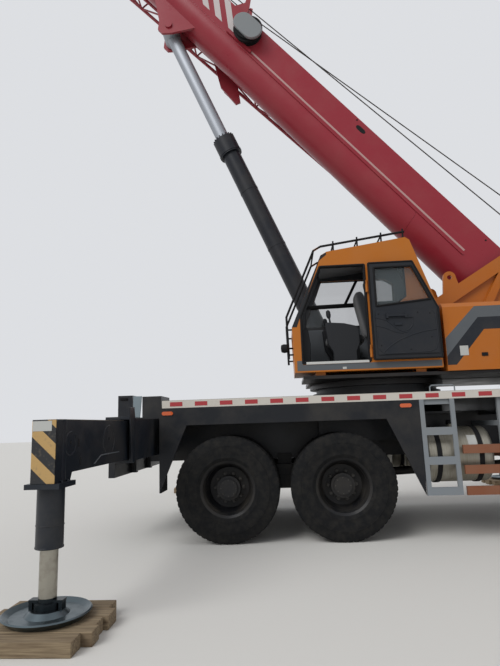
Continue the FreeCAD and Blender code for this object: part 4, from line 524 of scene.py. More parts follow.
def sawn_hardwood(name):
    """Rough-sawn hardwood gone grey outdoors: grain runs along the boards, 12 mm between its darker lines."""
    material, tree, surface, place = new_finish(name, Roughness=0.85)
    grain = add_node(tree, "ShaderNodeMapping", {"Vector": place, "Scale": (per_mm(300), per_mm(12), per_mm(14))})
    lines = add_node(tree, "ShaderNodeTexNoise", {"Vector": grain, "Scale": 1.0, "Detail": 5.0, "Roughness": 0.6})
    tone = add_node(tree, "ShaderNodeMapRange", {"Value": lines, "From Min": 0.3, "From Max": 0.7})
    shade = add_node(tree, "ShaderNodeMixRGB", {"Fac": tone, "Color1": linear("#5B4A38"), "Color2": linear("#96856A")})
    tree.links.new(shade, surface.inputs["Base Color"])
    tree.links.new(add_node(tree, "ShaderNodeBump", {"Height": lines, "Strength": 0.5, "Distance": 0.003}),
                   surface.inputs["Normal"])
    return material


jack_steel = turned_steel("jack_steel", "#A5A196", foot=((0.225, "#2E3438"), (0.148, "#5C676C")))
beam_enamel = sprayed_enamel("beam_enamel", "#1B2028", grime=0.28)
pipe_enamel = new_finish("pipe_enamel", Base_Color=linear("#565B61"), Roughness=0.45)[0]
hardwood = sawn_hardwood("sawn_hardwood")
boards = []
for end in ("rear", "front"):
    for side in ("right", "left"):
        out, ahead = (1 if side == "left" else -1), (1 if end == "rear" else -1)
        low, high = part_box(f"outrigger_jack_{end}_{side}")
        centre = (low + high) / 2
        for near, far, tail, head in ((0.415, 0.262, -0.42, 0.345), (0.255, 0.128, -0.36, 0.415), (0.122, -0.01, -0.40, 0.392),
                                      (-0.018, -0.19, -0.41, 0.425), (-0.198, -0.36, -0.38, 0.37)):
            ys = sorted((centre.y + out * near, centre.y + out * far))
            xs = sorted((centre.x + ahead * tail, centre.x + ahead * head))
            boards.append(box_form((xs[0], ys[0], 0.0), (xs[1], ys[1], 0.09)))
piece("mat_boards", boards, hardwood, "carrier", rounding=0.006, standing_for=("timber_mats",))
for end in ("rear", "front"):
    for side in ("right", "left"):
        out = 1 if side == "left" else -1
        where = f"{end}_{side}"
        finish_node(f"outrigger_stage1_{where}", beam_enamel)
        finish_node(f"outrigger_stage2_{where}", beam_enamel)
        finish_node(f"outrigger_jack_{where}", jack_steel)
        jack_low, jack_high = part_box(f"outrigger_jack_{where}")
        jack = (jack_low + jack_high) / 2
        cap_y = jack.y + out * 0.14
        body = f"outrigger_stage2_{where}"
        low_y, high_y = sorted((cap_y, cap_y + out * 0.006))
        cap_stripes = hazard_stripes(f"hazard_stripes_{where}", "#131418", "#B4925A", 1.075, 0.2317, jack.x + 1.2105)
        piece(f"cap_stripes_{where}", [box_form((jack.x - 0.0865, low_y, 0.99), (jack.x + 0.0865, high_y, 1.428))],
              cap_stripes, body, rounding=0.002)
        low_y, high_y = sorted((cap_y + out * 0.004, cap_y + out * 0.0075))
        piece(f"cap_plate_{where}", [box_form((jack.x - 0.082, low_y, 1.350), (jack.x + 0.056, high_y, 1.420))],
              blank_plate, body, rounding=0.001)
        collar = [turned_form([(0.0945, -high), (0.0985, -high), (0.0985, high), (0.0945, high)],
                              Vector((jack.x, jack.y, z)), (0, 0, 1), 40, closed=True) for z, high in ((0.70, 0.003), (0.552, 0.006))]
        for k in range(6):
            a = math.pi * (k + 0.5) / 3
            collar.append(turned_form([(0, 0.012), (0.011, 0.012), (0.013, 0)],
                                      Vector((jack.x + 0.112 * math.cos(a), jack.y + 0.1 * math.sin(a), 0.99)), (0, 0, 1), 6))
        piece(f"jack_bands_{where}", collar, beam_enamel, body, rounding=0.003)
        # The beam's holes and slots are drawn as black discs and plates: painted shade standing in for the dark inside
        # of each opening.
        beads, hole_shade, pipes = [], [], []
        for face in (-1, 1):
            side_x = jack.x + face * 0.0875
            for y, radius in ((3.70, 0.10), (2.86, 0.15)):
                ring = [(side_x, out * (y + radius * math.cos(t)), 1.255 + radius * 0.85 * math.sin(t))
                        for t in [math.pi * k / 18 for k in range(37)]]
                beads.append(tube_form(ring, 0.0035, 6))
                hole_shade.append(turned_form([(0, 0.003), (0.013, 0.003), (0.015, 0)], (side_x, out * y, 1.262), (face, 0, 0), 16))
            for y, low, high in ((3.555, 1.222, 1.286), (3.51, 1.081, 1.144)):
                rim = [(out * y + 0.014 * math.cos(t), (low + high) / 2 + (high - low) / 2 * math.sin(t))
                       for t in [math.pi * (k + 0.5) / 12 for k in range(24)]]
                hole_shade.append(plate_form(rim, *sorted((side_x, side_x + face * 0.002)), axis=0))
            pipes.append(tube_form([(side_x + face * 0.0022, out * y, z) for y, z in
                                    ((3.222, 1.070), (3.06, 1.132), (2.578, 1.136))], 0.005, 8))
        for face in (-1, 1):
            edge_x = sorted((jack.x + face * 0.0855, jack.x + face * 0.0885))
            edge_y = sorted((out * 2.45, out * 3.90))
            beads.append(box_form((edge_x[0], edge_y[0], 1.4255), (edge_x[1], edge_y[1], 1.4310)))
        piece(f"beam_edges_{where}", beads[-2:], jack_steel, body)
        piece(f"beam_beads_{where}", beads[:-2], beam_enamel, body)
        piece(f"beam_hole_shade_{where}", hole_shade, black_rubber_and_hole_shade, body)
        piece(f"beam_pipes_{where}", pipes, pipe_enamel, body)
        mouth_y = sorted((out * 2.268, out * 2.282))
        mouth = [box_form((jack.x - 0.150, mouth_y[0], 1.008), (jack.x + 0.150, mouth_y[1], 1.034)),
                 box_form((jack.x - 0.150, mouth_y[0], 1.441), (jack.x + 0.150, mouth_y[1], 1.470)),
                 box_form((jack.x - 0.150, mouth_y[0], 1.034), (jack.x - 0.098, mouth_y[1], 1.441)),
                 box_form((jack.x + 0.098, mouth_y[0], 1.034), (jack.x + 0.150, mouth_y[1], 1.441))]
        wing = [(out * y, z) for y, z in ((2.44, 1.555), (2.275, 1.565), (2.245, 1.46), (2.245, 1.012), (2.33, 1.012), (2.40, 1.40))]
        inner = 1 if end == "rear" else -1
        mouth.append(plate_form(wing, *sorted((jack.x + inner * 0.138, jack.x + inner * 0.150)), axis=0))
        piece(f"beam_mouth_{where}", mouth, beam_enamel, f"outrigger_stage1_{where}", rounding=0.002)

valve_enamel = sprayed_enamel("valve_enamel", "#7C898F", roughness=0.4, grime=0.2)
piece("valve_strip", [plate_form([(slew.x + x, z) for x, z in [(-3.222, 1.484), (-3.135, 1.484), (-3.112, 1.752), (-3.222, 1.752)]],
                                 -0.99, -0.972)], valve_enamel, "carrier", rounding=0.002)
piece("valve_handle", [box_form(from_slew(-3.392, -0.988, 1.700), from_slew(-3.292, -0.984, 1.737)),
                       tube_form([from_slew(-3.382, -0.986, 1.719), from_slew(-3.376, -1.006, 1.719), from_slew(-3.308, -1.006, 1.719),
                                  from_slew(-3.302, -0.986, 1.719)], 0.006, 8)], black_rubber_and_hole_shade, "carrier")


# Driver's cab: pressed steel shell and doors in the orange enamel, standing on a black
# moulded bumper, with laminated glass bonded in behind black rubber gaskets.
ORANGE = "#AC6016"
cab_low, cab_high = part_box("driver_cab")
cab_enamel = sprayed_enamel("cab_enamel", ORANGE, roughness=0.28, grime=0.16, zones=[
    ((cab_low.x - 0.01, -1.4, 0.3), (cab_high.x + 0.05, 1.4, 0.905), "#17191C"),
    (from_slew(5.80, -1.285, 0.92), from_slew(7.79, 1.285, 2.46), "#2A2C30")])
finish_node("driver_cab", cab_enamel)
for side in ("left", "right"):
    finish_node(f"driver_door_{side}", cab_enamel)


def tinted_glass(name, tint="#566063", alpha=0.24):
    """Tinted safety glass: smooth and clear, drawn as a thin dark film that still lets light through."""
    material, tree, surface, place = new_finish(name, Base_Color=linear(tint), Roughness=0.04, Alpha=alpha, IOR=1.5)
    surface.inputs["Specular IOR Level"].default_value = 0.8
    return material


glass = tinted_glass("tinted_glass")
finish_node("driver_cab_glass", glass)
finish_node("operator_cab_glass", glass)
trim_vinyl = new_finish("moulded_trim", Base_Color=linear("#16181C"), Roughness=0.6, Specular_IOR_Level=0.35)[0]
finish_node("driver_cab_interior", trim_vinyl)


def gasket_form(outline, depth, thick, place=Vector, axis=1):
    """Rubber section run round an opening's outline, its corners mitred."""
    points = []
    for a, b in outline:
        point = [a, b]
        point.insert(axis, depth)
        points.append(Vector(place(point)))
    forms = []
    for i, start in enumerate(points):
        end = points[(i + 1) % len(points)]
        forms.append(tube_form([start, end], thick, 8))
    return forms


def on_screen(y, z, proud=0.0):
    """A point on the raked front of the driver's cab."""
    if z < 1.56:
        return from_slew(8.11 + 0.04 * (1.56 - z) / 0.51 + proud, y, z)
    return from_slew(8.11 - (z - 1.56) * 0.29 / 0.92 + proud, y, z)


seal = []
corners = [(-1.18, 1.66), (1.18, 1.66), (1.12, 2.44), (-1.12, 2.44)]
for i in range(4):
    (y0, z0), (y1, z1) = corners[i], corners[(i + 1) % 4]
    seal.append(tube_form([on_screen(y0, z0), on_screen(y1, z1)], 0.016, 8))
seal += gasket_form([(-0.9, 1.9), (0.9, 1.9), (0.86, 2.38), (-0.86, 2.38)], from_slew(5.782, 0, 0).x, 0.014, axis=0)
piece("driver_screen_seal", seal, black_rubber_and_hole_shade, "carrier")

grille = []
for k in range(6):
    z = 1.06 + 0.075 * k
    grille.append(box_form(on_screen(-0.82, z, -0.02), on_screen(0.82, z + 0.045, 0.018)))
grille.append(box_form(from_slew(8.12, -0.86, 1.02), from_slew(8.152, 0.86, 1.05)))
piece("driver_grille", grille, trim_vinyl, "carrier", rounding=0.006)
wipers = []
for y in (-0.62, 0.18):
    foot = on_screen(y, 1.62, 0.02)
    wipers.append(turned_form([(0, 0.03), (0.02, 0.028), (0.026, 0)], foot, (1, 0, 0.3), 16))
    wipers.append(tube_form([foot + Vector((0.02, 0, 0)), on_screen(y + 0.30, 1.92, 0.022)], 0.008, 8))
    wipers.append(tube_form([on_screen(y + 0.06, 1.70, 0.020), on_screen(y + 0.56, 2.12, 0.020)], 0.007, 8))
piece("driver_wipers", wipers, trim_vinyl, "carrier")
mirror_arms, mirror_shells, mirror_faces = [], [], []
for side in (-1, 1):
    hang = [from_slew(7.74, side * 1.326, 2.36), from_slew(7.86, side * 1.36, 2.40), from_slew(7.93, side * 1.372, 2.34),
            from_slew(7.95, side * 1.372, 1.86), from_slew(7.84, side * 1.355, 1.80), from_slew(7.79, side * 1.326, 1.80)]
    mirror_arms.append(tube_form(hang, 0.013, 8))
    shell_y = sorted((side * 1.19, side * 1.375))
    mirror_shells.append(box_form(from_slew(7.93, shell_y[0], 1.92), from_slew(8.01, shell_y[1], 2.30)))
    mirror_faces.append(box_form(from_slew(7.927, shell_y[0] + 0.015, 1.94), from_slew(7.931, shell_y[1] - 0.015, 2.28)))
piece("mirror_arms", mirror_arms, trim_vinyl, "carrier")
piece("mirror_shells", mirror_shells, trim_vinyl, "carrier", rounding=0.02)
silvered = new_finish("silvered_glass", Base_Color=linear("#D6DADC"), Metallic=1.0, Roughness=0.05)[0]
piece("mirror_faces", mirror_faces, silvered, "carrier")

for side, out in (("left", 1), ("right", -1)):
    face_y = out * 1.325
    window = [(6.65, 1.64), (7.48, 1.64), (7.37, 2.37), (6.65, 2.37)]
    outline = [(slew.x + x, z) for x, z in window]
    pane_y = sorted((out * 1.297, out * 1.303))
    pane = plate_form([(slew.x + x, z) for x, z in window], *pane_y)
    piece(f"driver_pane_{side}", [pane], glass, f"driver_door_{side}")
    piece(f"driver_door_seal_{side}", gasket_form(outline, face_y, 0.012), black_rubber_and_hole_shade, f"driver_door_{side}")
    panel_y = sorted((out * 1.262, out * 1.276))
    piece(f"driver_door_card_{side}", [box_form(from_slew(6.64, panel_y[0], 0.86), from_slew(7.44, panel_y[1], 1.6))],
          trim_vinyl, f"driver_door_{side}", rounding=0.02)

# Engine cover and exhaust: louvred steel sheet; a heat-stained stack with its guard.
stack = [tube_form([from_slew(4.86, 0.72, DECK_TOP), from_slew(4.86, 0.72, 2.36), from_slew(4.82, 0.72, 2.44),
                    from_slew(4.74, 0.72, 2.50)], 0.055, 20)]
stack_steel = turned_steel("exhaust_steel", "#6E675F", roughness=0.5, grime=0.7)
piece("exhaust_stack", stack, stack_steel, "carrier")
guard = []
for k in range(10):
    a = math.pi * 2 * k / 10
    guard.append(tube_form([from_slew(4.86 + 0.085 * math.cos(a), 0.72 + 0.085 * math.sin(a), 1.72),
                            from_slew(4.86 + 0.085 * math.cos(a), 0.72 + 0.085 * math.sin(a), 2.24)], 0.004, 6))
for z in (1.72, 1.98, 2.24):
    guard.append(turned_form([(0.082, -0.006), (0.09, -0.006), (0.09, 0.006), (0.082, 0.006)],
                             from_slew(4.86, 0.72, z), (0, 0, 1), 30, closed=True))
piece("exhaust_guard", guard, trim_vinyl, "carrier")
latches = [box_form(from_slew(x, side * 0.622 - 0.006, 2.06), from_slew(x + 0.05, side * 0.622 + 0.006, 2.085))
           for side in (-1, 1) for x in (4.82, 5.32)]
piece("cover_latches", latches, jack_steel, "carrier", rounding=0.002)
bumper_bolts = [turned_form([(0, 0.008), (0.012, 0.008), (0.015, 0)], from_slew(8.15, y, z), (1, 0, 0), 6)
                for y in (-1.2, -0.4, 0.4, 1.2) for z in (0.62, 0.86)]
piece("bumper_bolts", bumper_bolts, trim_vinyl, "carrier")


# Seats: moulded foam in black woven cloth, on a steel pedestal. Each cushion is crowned,
# its sides pull in, and two sewn channels run down the back and the seat.
def woven_cloth(name, colour):
    material, tree, surface, place = new_finish(name, Roughness=0.92, Sheen_Weight=0.25)
    weave = add_node(tree, "ShaderNodeTexWave", {"Vector": place, "Scale": per_mm(9), "Distortion": 1.5},
                     bands_direction="DIAGONAL")
    tree.links.new(add_node(tree, "ShaderNodeBump", {"Height": weave, "Strength": 0.25, "Distance": 0.001}),
                   surface.inputs["Normal"])
    shade = add_node(tree, "ShaderNodeMixRGB", {"Fac": weave, "Color1": linear(colour), "Color2": linear("#24262A")})
    tree.links.new(shade, surface.inputs["Base Color"])
    return material


def cushion_form(centre, size, lean, channels=(-0.33, 0.33), rings=26, sides=44, softness=0.42):
    """A crowned closed cushion of a given size, leaned back about Y, with sewn channels across its width."""
    points, faces = [], []
    turn = Matrix.Rotation(lean, 3, "Y")

    def power(value, e):
        return math.copysign(abs(value) ** e, value)

    for i in range(rings + 1):
        v = math.pi * (i / rings - 0.5)
        for k in range(sides):
            u = 2 * math.pi * k / sides
            x = power(math.cos(v), softness) * power(math.cos(u), softness)
            y = power(math.cos(v), softness) * power(math.sin(u), softness)
            z = power(math.sin(v), softness + 0.25)
            pull = 1.0 - 0.06 * abs(x) ** 2 * abs(y) ** 2
            dip = sum(0.10 * math.exp(-((y - c) / 0.05) ** 2) for c in channels) if z > 0.3 else 0.0
            local = Vector((x * size[0] / 2 * pull, y * size[1] / 2 * pull, (z - dip) * size[2] / 2))
            points.append(Vector(centre) + turn @ local)
    for i in range(rings):
        for k in range(sides):
            n = (k + 1) % sides
            faces.append((i * sides + k, i * sides + n, (i + 1) * sides + n, (i + 1) * sides + k))
    return points, faces


seat_cloth = woven_cloth("seat_cloth", "#131418")


def seat(name, x, y, floor_z, facing, body, nodes=()):
    """A driving seat whose cushion, back and headrest are soft pieces; facing is the sign of X."""
    parts = {
        "cushion": cushion_form(from_slew(x + 0.01 * facing, y, floor_z + 0.375), (0.48, 0.46, 0.13), 0.0),
        "back": cushion_form(from_slew(x - 0.245 * facing, y, floor_z + 0.70), (0.60, 0.45, 0.12),
                             facing * math.radians(-78) if facing > 0 else math.radians(78)),
        "headrest": cushion_form(from_slew(x - 0.33 * facing, y, floor_z + 1.07), (0.17, 0.25, 0.09),
                                 facing * math.radians(-80) if facing > 0 else math.radians(80), channels=()),
    }
    for part, form in parts.items():
        soft = piece(f"{name}_{part}", [form], seat_cloth, body)
        if part == "cushion" and nodes:
            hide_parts(*nodes)
    frame_parts = [box_form(from_slew(x - 0.15, y - 0.15, floor_z), from_slew(x + 0.15, y + 0.15, floor_z + 0.30)),
                   tube_form([from_slew(x - 0.305 * facing, y - 0.06, floor_z + 0.95),
                              from_slew(x - 0.33 * facing, y - 0.06, floor_z + 1.06)], 0.007, 8),
                   tube_form([from_slew(x - 0.305 * facing, y + 0.06, floor_z + 0.95),
                              from_slew(x - 0.33 * facing, y + 0.06, floor_z + 1.06)], 0.007, 8)]
    piece(f"{name}_pedestal", frame_parts, trim_vinyl, body, rounding=0.01)


DRIVER_FLOOR = 0.94
for side, y in (("left", 0.72), ("right", -0.72)):
    seat(f"driver_seat_{side}", 6.9, y, DRIVER_FLOOR, 1, "carrier", nodes=("driver_cab_interior",) if side == "left" else ())
dash = [plate_form([(slew.x + x, z) for x, z in [(7.56, 1.3), (7.5, 1.5), (7.56, 1.62), (7.9, 1.64), (7.96, 1.56), (7.96, 1.3)]],
                   -1.2, 1.2),
        box_form(from_slew(7.7, -1.2, DRIVER_FLOOR), from_slew(7.96, 1.2, 1.3)),
        tube_form([from_slew(7.64, 0.72, 1.48), from_slew(7.43, 0.72, 1.71)], 0.035, 16)]
piece("driver_dashboard", dash, trim_vinyl, "carrier", rounding=0.02)
wheel_axis = Vector((-0.22, 0, 0.24)).normalized()
wheel_centre = from_slew(7.42, 0.72, 1.72)
steering = [turned_form([(0.215 + 0.018 * math.cos(t), 0.018 * math.sin(t)) for t in [math.pi * k / 6 for k in range(12)]],
                        wheel_centre, wheel_axis, 60, closed=True),
            turned_form([(0, 0.02), (0.06, 0.014), (0.07, -0.02), (0, -0.03)], wheel_centre, wheel_axis, 28)]
for y, z in ((0.2, 0.0), (-0.2, 0.0), (0.0, -0.2)):
    across = wheel_axis.cross(Vector((0, 1, 0))).normalized()
    steering.append(tube_form([wheel_centre, wheel_centre + Vector((0, y, 0)) - across * z], 0.013, 8))
piece("steering_wheel", steering, black_rubber_and_hole_shade, "carrier")


# Turntable: a fabricated frame of thick plate in the orange enamel, on the black ring of
# bolted slewing bearing. The bearing's bolts stand in two circles.
turntable_low, turntable_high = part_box("turntable_frame")
finish_node("turntable_frame", sprayed_enamel("turntable_enamel", ORANGE, roughness=0.3, grime=0.2, zones=[
    ((turntable_low.x - 0.01, -1.4, 1.79), (turntable_high.x + 0.01, 1.4, 1.914), "#1D1B1C")]))
ring_bolts = []
for k in range(48):
    a = 2 * math.pi * k / 48
    ring_bolts.append(turned_form([(0, 0.022), (0.014, 0.022), (0.017, 0.016), (0.017, 0)],
                                  from_slew(0.795 * math.cos(a), 0.795 * math.sin(a), 1.74), (0, 0, 1), 6))
piece("ring_bolts", ring_bolts, nut_steel, "carrier")
foot_pin = joint_at["boom_luff"]
pin_caps = []
for side in (-1, 1):
    pin_caps.append(turned_form([(0, 0.018), (0.10, 0.018), (0.115, 0.012), (0.115, 0)],
                                (foot_pin.x, side * 0.541, foot_pin.z), (0, side, 0), 32))
    for k in range(6):
        a = math.pi * k / 3
        pin_caps.append(turned_form([(0, 0.012), (0.011, 0.012), (0.013, 0)], (
            foot_pin.x + 0.085 * math.cos(a), side * 0.559, foot_pin.z + 0.085 * math.sin(a)), (0, side, 0), 6))
piece("foot_pin_caps", pin_caps, nut_steel, "boom_base")

# Machinery hoods: folded sheet in the orange enamel, with a grey and a dark band masked
# along the near side, a blank plate, louvres and flush latches.
hood_enamel = sprayed_enamel("hood_enamel", ORANGE, roughness=0.28, grime=0.18)
finish_node("machinery_hoods", hood_enamel)
HOOD_Y, HOOD_X0, HOOD_X1 = -1.31, 0.645, 3.30
band_grey = sprayed_enamel("band_grey", "#55595D", roughness=0.3, grime=0.15)
band_dark = sprayed_enamel("band_dark", "#171B23", roughness=0.3, grime=0.15)
grey_outline = [(HOOD_X0 + 0.004, 2.285), (1.018, 2.662), (HOOD_X1 - 0.004, 2.662), (HOOD_X1 - 0.004, 2.527), (1.048, 2.527),
                (HOOD_X0 + 0.004, 2.068)]
dark_outline = [(HOOD_X0 + 0.004, 2.068), (1.048, 2.527), (HOOD_X1 - 0.004, 2.527), (HOOD_X1 - 0.004, 2.38), (1.107, 2.38),
                (0.752, 1.968), (HOOD_X0 + 0.004, 1.968)]
for name, outline, finish in (("hood_band_grey", grey_outline, band_grey), ("hood_band_dark", dark_outline, band_dark)):
    piece(name, [plate_form([(slew.x + x, z) for x, z in outline], HOOD_Y - 0.0015, HOOD_Y + 0.002)], finish, "superstructure")
piece("hood_plate", [box_form(from_slew(0.805, HOOD_Y - 0.004, 2.074), from_slew(0.903, HOOD_Y + 0.001, 2.190))],
      blank_plate, "superstructure", rounding=0.002)
louvres, hood_trim = [], []
for k in range(9):
    x = 2.35 + 0.085 * k
    louvres.append(plate_form([(slew.x + x, 2.02), (slew.x + x + 0.05, 2.02), (slew.x + x + 0.05, 2.30), (slew.x + x, 2.30)],
                              HOOD_Y - 0.008, HOOD_Y + 0.002))
piece("hood_louvres", louvres, hood_enamel, "superstructure", rounding=0.004)
for x in (1.05, 1.95):
    hood_trim.append(box_form(from_slew(x, HOOD_Y - 0.010, 2.06), from_slew(x + 0.07, HOOD_Y + 0.002, 2.10)))
for x in (1.52, 2.28):
    hood_trim.append(box_form(from_slew(x, HOOD_Y - 0.002, 1.905), from_slew(x + 0.006, HOOD_Y + 0.003, 2.662)))
piece("hood_latches", hood_trim, black_rubber_and_hole_shade, "superstructure", rounding=0.001)
finish_node("counterweight", sprayed_enamel("counterweight_enamel", ORANGE, roughness=0.4, grime=0.25))


# Operator's cab: steel shell in the orange enamel with black rubber seals, a black
# windscreen surround, an alloy sill strip and a grey stripe masked along its foot.
CAB_Y, CAB_FAR = -1.31, -0.52
finish_node("operator_cab", sprayed_enamel("operator_cab_enamel", "#B06619", roughness=0.28, grime=0.16, zones=[
    (from_slew(-1.082, CAB_Y + 0.042, 1.985), from_slew(0.562, CAB_FAR - 0.042, 3.40), "#24262A")]))
doorway = [(-1.05, 2.05), (-0.244, 2.05), (-0.244, 3.25), (-0.79, 3.25), (-1.05, 2.64)]
quarter = [(-0.15, 2.74), (0.11, 2.74), (0.23, 2.83), (0.23, 3.20), (-0.15, 3.23)]
far_window = [(-0.98, 2.62), (0.25, 2.62), (0.25, 3.18), (0.12, 3.26), (-0.73, 3.26)]
seals = gasket_form([(slew.x + x, z) for x, z in doorway], CAB_Y + 0.004, 0.014)
seals += gasket_form([(slew.x + x, z) for x, z in quarter], CAB_Y + 0.002, 0.011)
seals += gasket_form([(slew.x + x, z) for x, z in far_window], CAB_FAR - 0.002, 0.012)
seals += gasket_form([(slew.x + x, z) for x, z in doorway], CAB_Y + 0.042, 0.016)
piece("cab_seals", seals, black_rubber_and_hole_shade, "superstructure")
surround = [(-1.165, 2.50), (-1.105, 2.50), (-0.79, 3.33), (-0.70, 3.40), (-0.70, 3.43), (-0.77, 3.392)]
piece("windscreen_surround", [
    plate_form([(slew.x + x, z) for x, z in surround], CAB_Y - 0.002, CAB_Y + 0.002),
    plate_form([(slew.x + x, z) for x, z in surround], CAB_FAR - 0.002, CAB_FAR + 0.002)], trim_vinyl, "superstructure")
piece("cab_sill", [box_form(from_slew(-1.01, CAB_Y - 0.010, 2.036), from_slew(-0.262, CAB_Y + 0.046, 2.066))],
      new_finish("anodised_aluminium", Base_Color=linear("#C4C4C0"), Metallic=0.5, Roughness=0.4)[0], "superstructure",
      rounding=0.002)
stripe = [(-1.12, 1.962), (0.585, 1.962), (0.585, 2.034), (-1.052, 2.034), (-1.052, 2.085), (-1.12, 2.085)]
piece("cab_stripe", [plate_form([(slew.x + x, z) for x, z in stripe], CAB_Y - 0.0015, CAB_Y + 0.002)], band_grey,
      "superstructure")
piece("cab_plate", [box_form(from_slew(-0.58, CAB_Y - 0.003, 1.968), from_slew(-0.535, CAB_Y + 0.001, 1.994))], blank_plate,
      "superstructure")
far_bars = [tube_form([from_slew(-0.99, CAB_FAR - 0.03, 2.90), from_slew(0.25, CAB_FAR - 0.03, 2.92)], 0.03, 8),
            tube_form([from_slew(-0.42, CAB_FAR - 0.03, 2.91), from_slew(-0.24, CAB_FAR - 0.03, 3.25)], 0.019, 8)]
piece("far_window_bars", far_bars, black_rubber_and_hole_shade, "superstructure")
lining = new_finish("moulded_lining", Base_Color=linear("#5F6367"), Roughness=0.7)[0]
piece("cab_lining", [
    plate_form([(slew.x + x, z) for x, z in [(-0.74, 3.35), (0.24, 3.47), (0.27, 3.44), (0.27, 3.40), (-0.76, 3.29)]],
               CAB_Y + 0.05, CAB_FAR - 0.05),
    box_form(from_slew(-0.98, CAB_FAR - 0.062, 2.0), from_slew(0.53, CAB_FAR - 0.046, 2.58)),
    box_form(from_slew(0.535, CAB_Y + 0.05, 2.0), from_slew(0.55, CAB_FAR - 0.05, 2.66))], lining, "superstructure", rounding=0.008)
guard_route = [(-1.215, 2.12), (-1.225, 2.64), (-0.85, 3.48), (-0.76, 3.53), (0.29, 3.668)]
guard_tubes = []
for y in (CAB_Y + 0.06, CAB_FAR - 0.06):
    guard_tubes.append(tube_form([from_slew(x, y, z) for x, z in guard_route], 0.0145, 12))
    for x, z in ((-0.6, 3.551), (-0.3, 3.59), (0, 3.63), (0.27, 3.665)):
        guard_tubes.append(tube_form([from_slew(x, y, z + 0.04), from_slew(x, y, z - 0.09)], 0.0105, 8))
    for z in (2.17, 2.48):
        guard_tubes.append(tube_form([from_slew(-1.22, y, z), from_slew(-1.155, y, z)], 0.0105, 8))
for x, z in ((-0.85, 3.48), (-0.6, 3.551), (-0.3, 3.59), (0, 3.63)):
    guard_tubes.append(tube_form([from_slew(x, CAB_Y + 0.06, z), from_slew(x, CAB_FAR - 0.06, z)], 0.0105, 8))
piece("cab_guard_tubes", guard_tubes, black_rubber_and_hole_shade, "superstructure")
work_lamp = [turned_form([(0, 0.0), (0.045, 0.0), (0.055, 0.03), (0.05, 0.075), (0.02, 0.09), (0, 0.09)],
                         from_slew(-1.30, -1.25, 2.25), (1, -0.2, 0), 24),
             tube_form([from_slew(-1.23, -1.25, 2.25), from_slew(-1.155, -1.25, 2.25)], 0.011, 8)]
piece("work_lamp", work_lamp, black_rubber_and_hole_shade, "superstructure")
cab_wipers = [tube_form([from_slew(-1.152, -0.92, 2.54), from_slew(-1.06, -0.80, 2.78), from_slew(-0.98, -0.72, 2.98)], 0.009, 8),
              tube_form([from_slew(-1.10, -0.76, 2.70), from_slew(-0.93, -0.69, 3.10)], 0.007, 8)]
piece("cab_wiper", cab_wipers, black_rubber_and_hole_shade, "superstructure")

CAB_FLOOR, CAB_MID = 1.99, (CAB_Y + CAB_FAR) / 2
OPERATOR_SEAT_X = -0.48
seat("operator_seat", OPERATOR_SEAT_X, CAB_MID, CAB_FLOOR, -1, "superstructure", nodes=("operator_cab_interior",))
controls = []
for y in (CAB_MID - 0.264, CAB_MID + 0.264):
    controls.append(plate_form([(slew.x + x, CAB_FLOOR + z) for x, z in
                                [(-0.728, 0.30), (-0.752, 0.54), (-0.74, 0.575), (-0.52, 0.555), (-0.37, 0.515), (-0.338, 0.48),
                                 (-0.338, 0.30), (-0.38, 0.20), (-0.38, 0.0), (-0.67, 0.0), (-0.67, 0.20)]],
                               y - 0.036, y + 0.036))
    controls.append(tube_form([from_slew(-0.68, y, CAB_FLOOR + 0.53), from_slew(-0.70, y, CAB_FLOOR + 0.66)], 0.012, 12))
    controls.append(turned_form([(0, -0.01), (0.022, 0.0), (0.030, 0.04), (0.026, 0.09), (0, 0.105)],
                                from_slew(-0.698, y, CAB_FLOOR + 0.63), (-0.1, 0, 1), 18))
controls.append(plate_form([(slew.x + x, CAB_FLOOR + z) for x, z in
                            [(-1.09, 0), (-1.096, 0.42), (-1.03, 0.52), (-0.96, 0.50), (-0.938, 0.33), (-0.95, 0)]],
                           CAB_MID - 0.23, CAB_MID + 0.15))
controls.append(plate_form([(slew.x + x, CAB_FLOOR + z) for x, z in
                            [(-1.042, 0.495), (-1.022, 0.74), (-0.98, 0.752), (-0.973, 0.49)]], CAB_MID - 0.12, CAB_MID + 0.09))
piece("operator_controls", controls, trim_vinyl, "superstructure", rounding=0.012)


# Operator's door, folded right back: the orange skin lies inwards against the cab, and
# what shows is its moulded dark lining with a recessed pull, ribs and screws.
DOOR_FACE, LINING_FACE = -1.3866, -1.4006
finish_node("operator_door", sprayed_enamel("door_enamel", "#131820", roughness=0.5, grime=0.12, zones=[
    (from_slew(-0.26, -1.350, 1.9), from_slew(0.62, -1.30, 3.4), "#B06619")]))
door_window = [(0.496, 2.76), (-0.144, 2.70), (-0.144, 3.18), (0.306, 3.18)]
door_trim = gasket_form([(slew.x + x, z) for x, z in door_window], DOOR_FACE - 0.002, 0.013)
door_trim += gasket_form([(slew.x + x, z) for x, z in
                          [(0.578, 2.06), (-0.206, 2.06), (-0.206, 3.24), (0.318, 3.24), (0.578, 2.65)]], DOOR_FACE + 0.002, 0.012)
piece("door_seals", door_trim, black_rubber_and_hole_shade, "operator_door")
piece("door_pane", [plate_form([(slew.x + x, z) for x, z in door_window], DOOR_FACE + 0.018, DOOR_FACE + 0.024)], glass,
      "operator_door")
door_lining = sprayed_enamel("door_lining", "#181D25", roughness=0.55, grime=0.1)
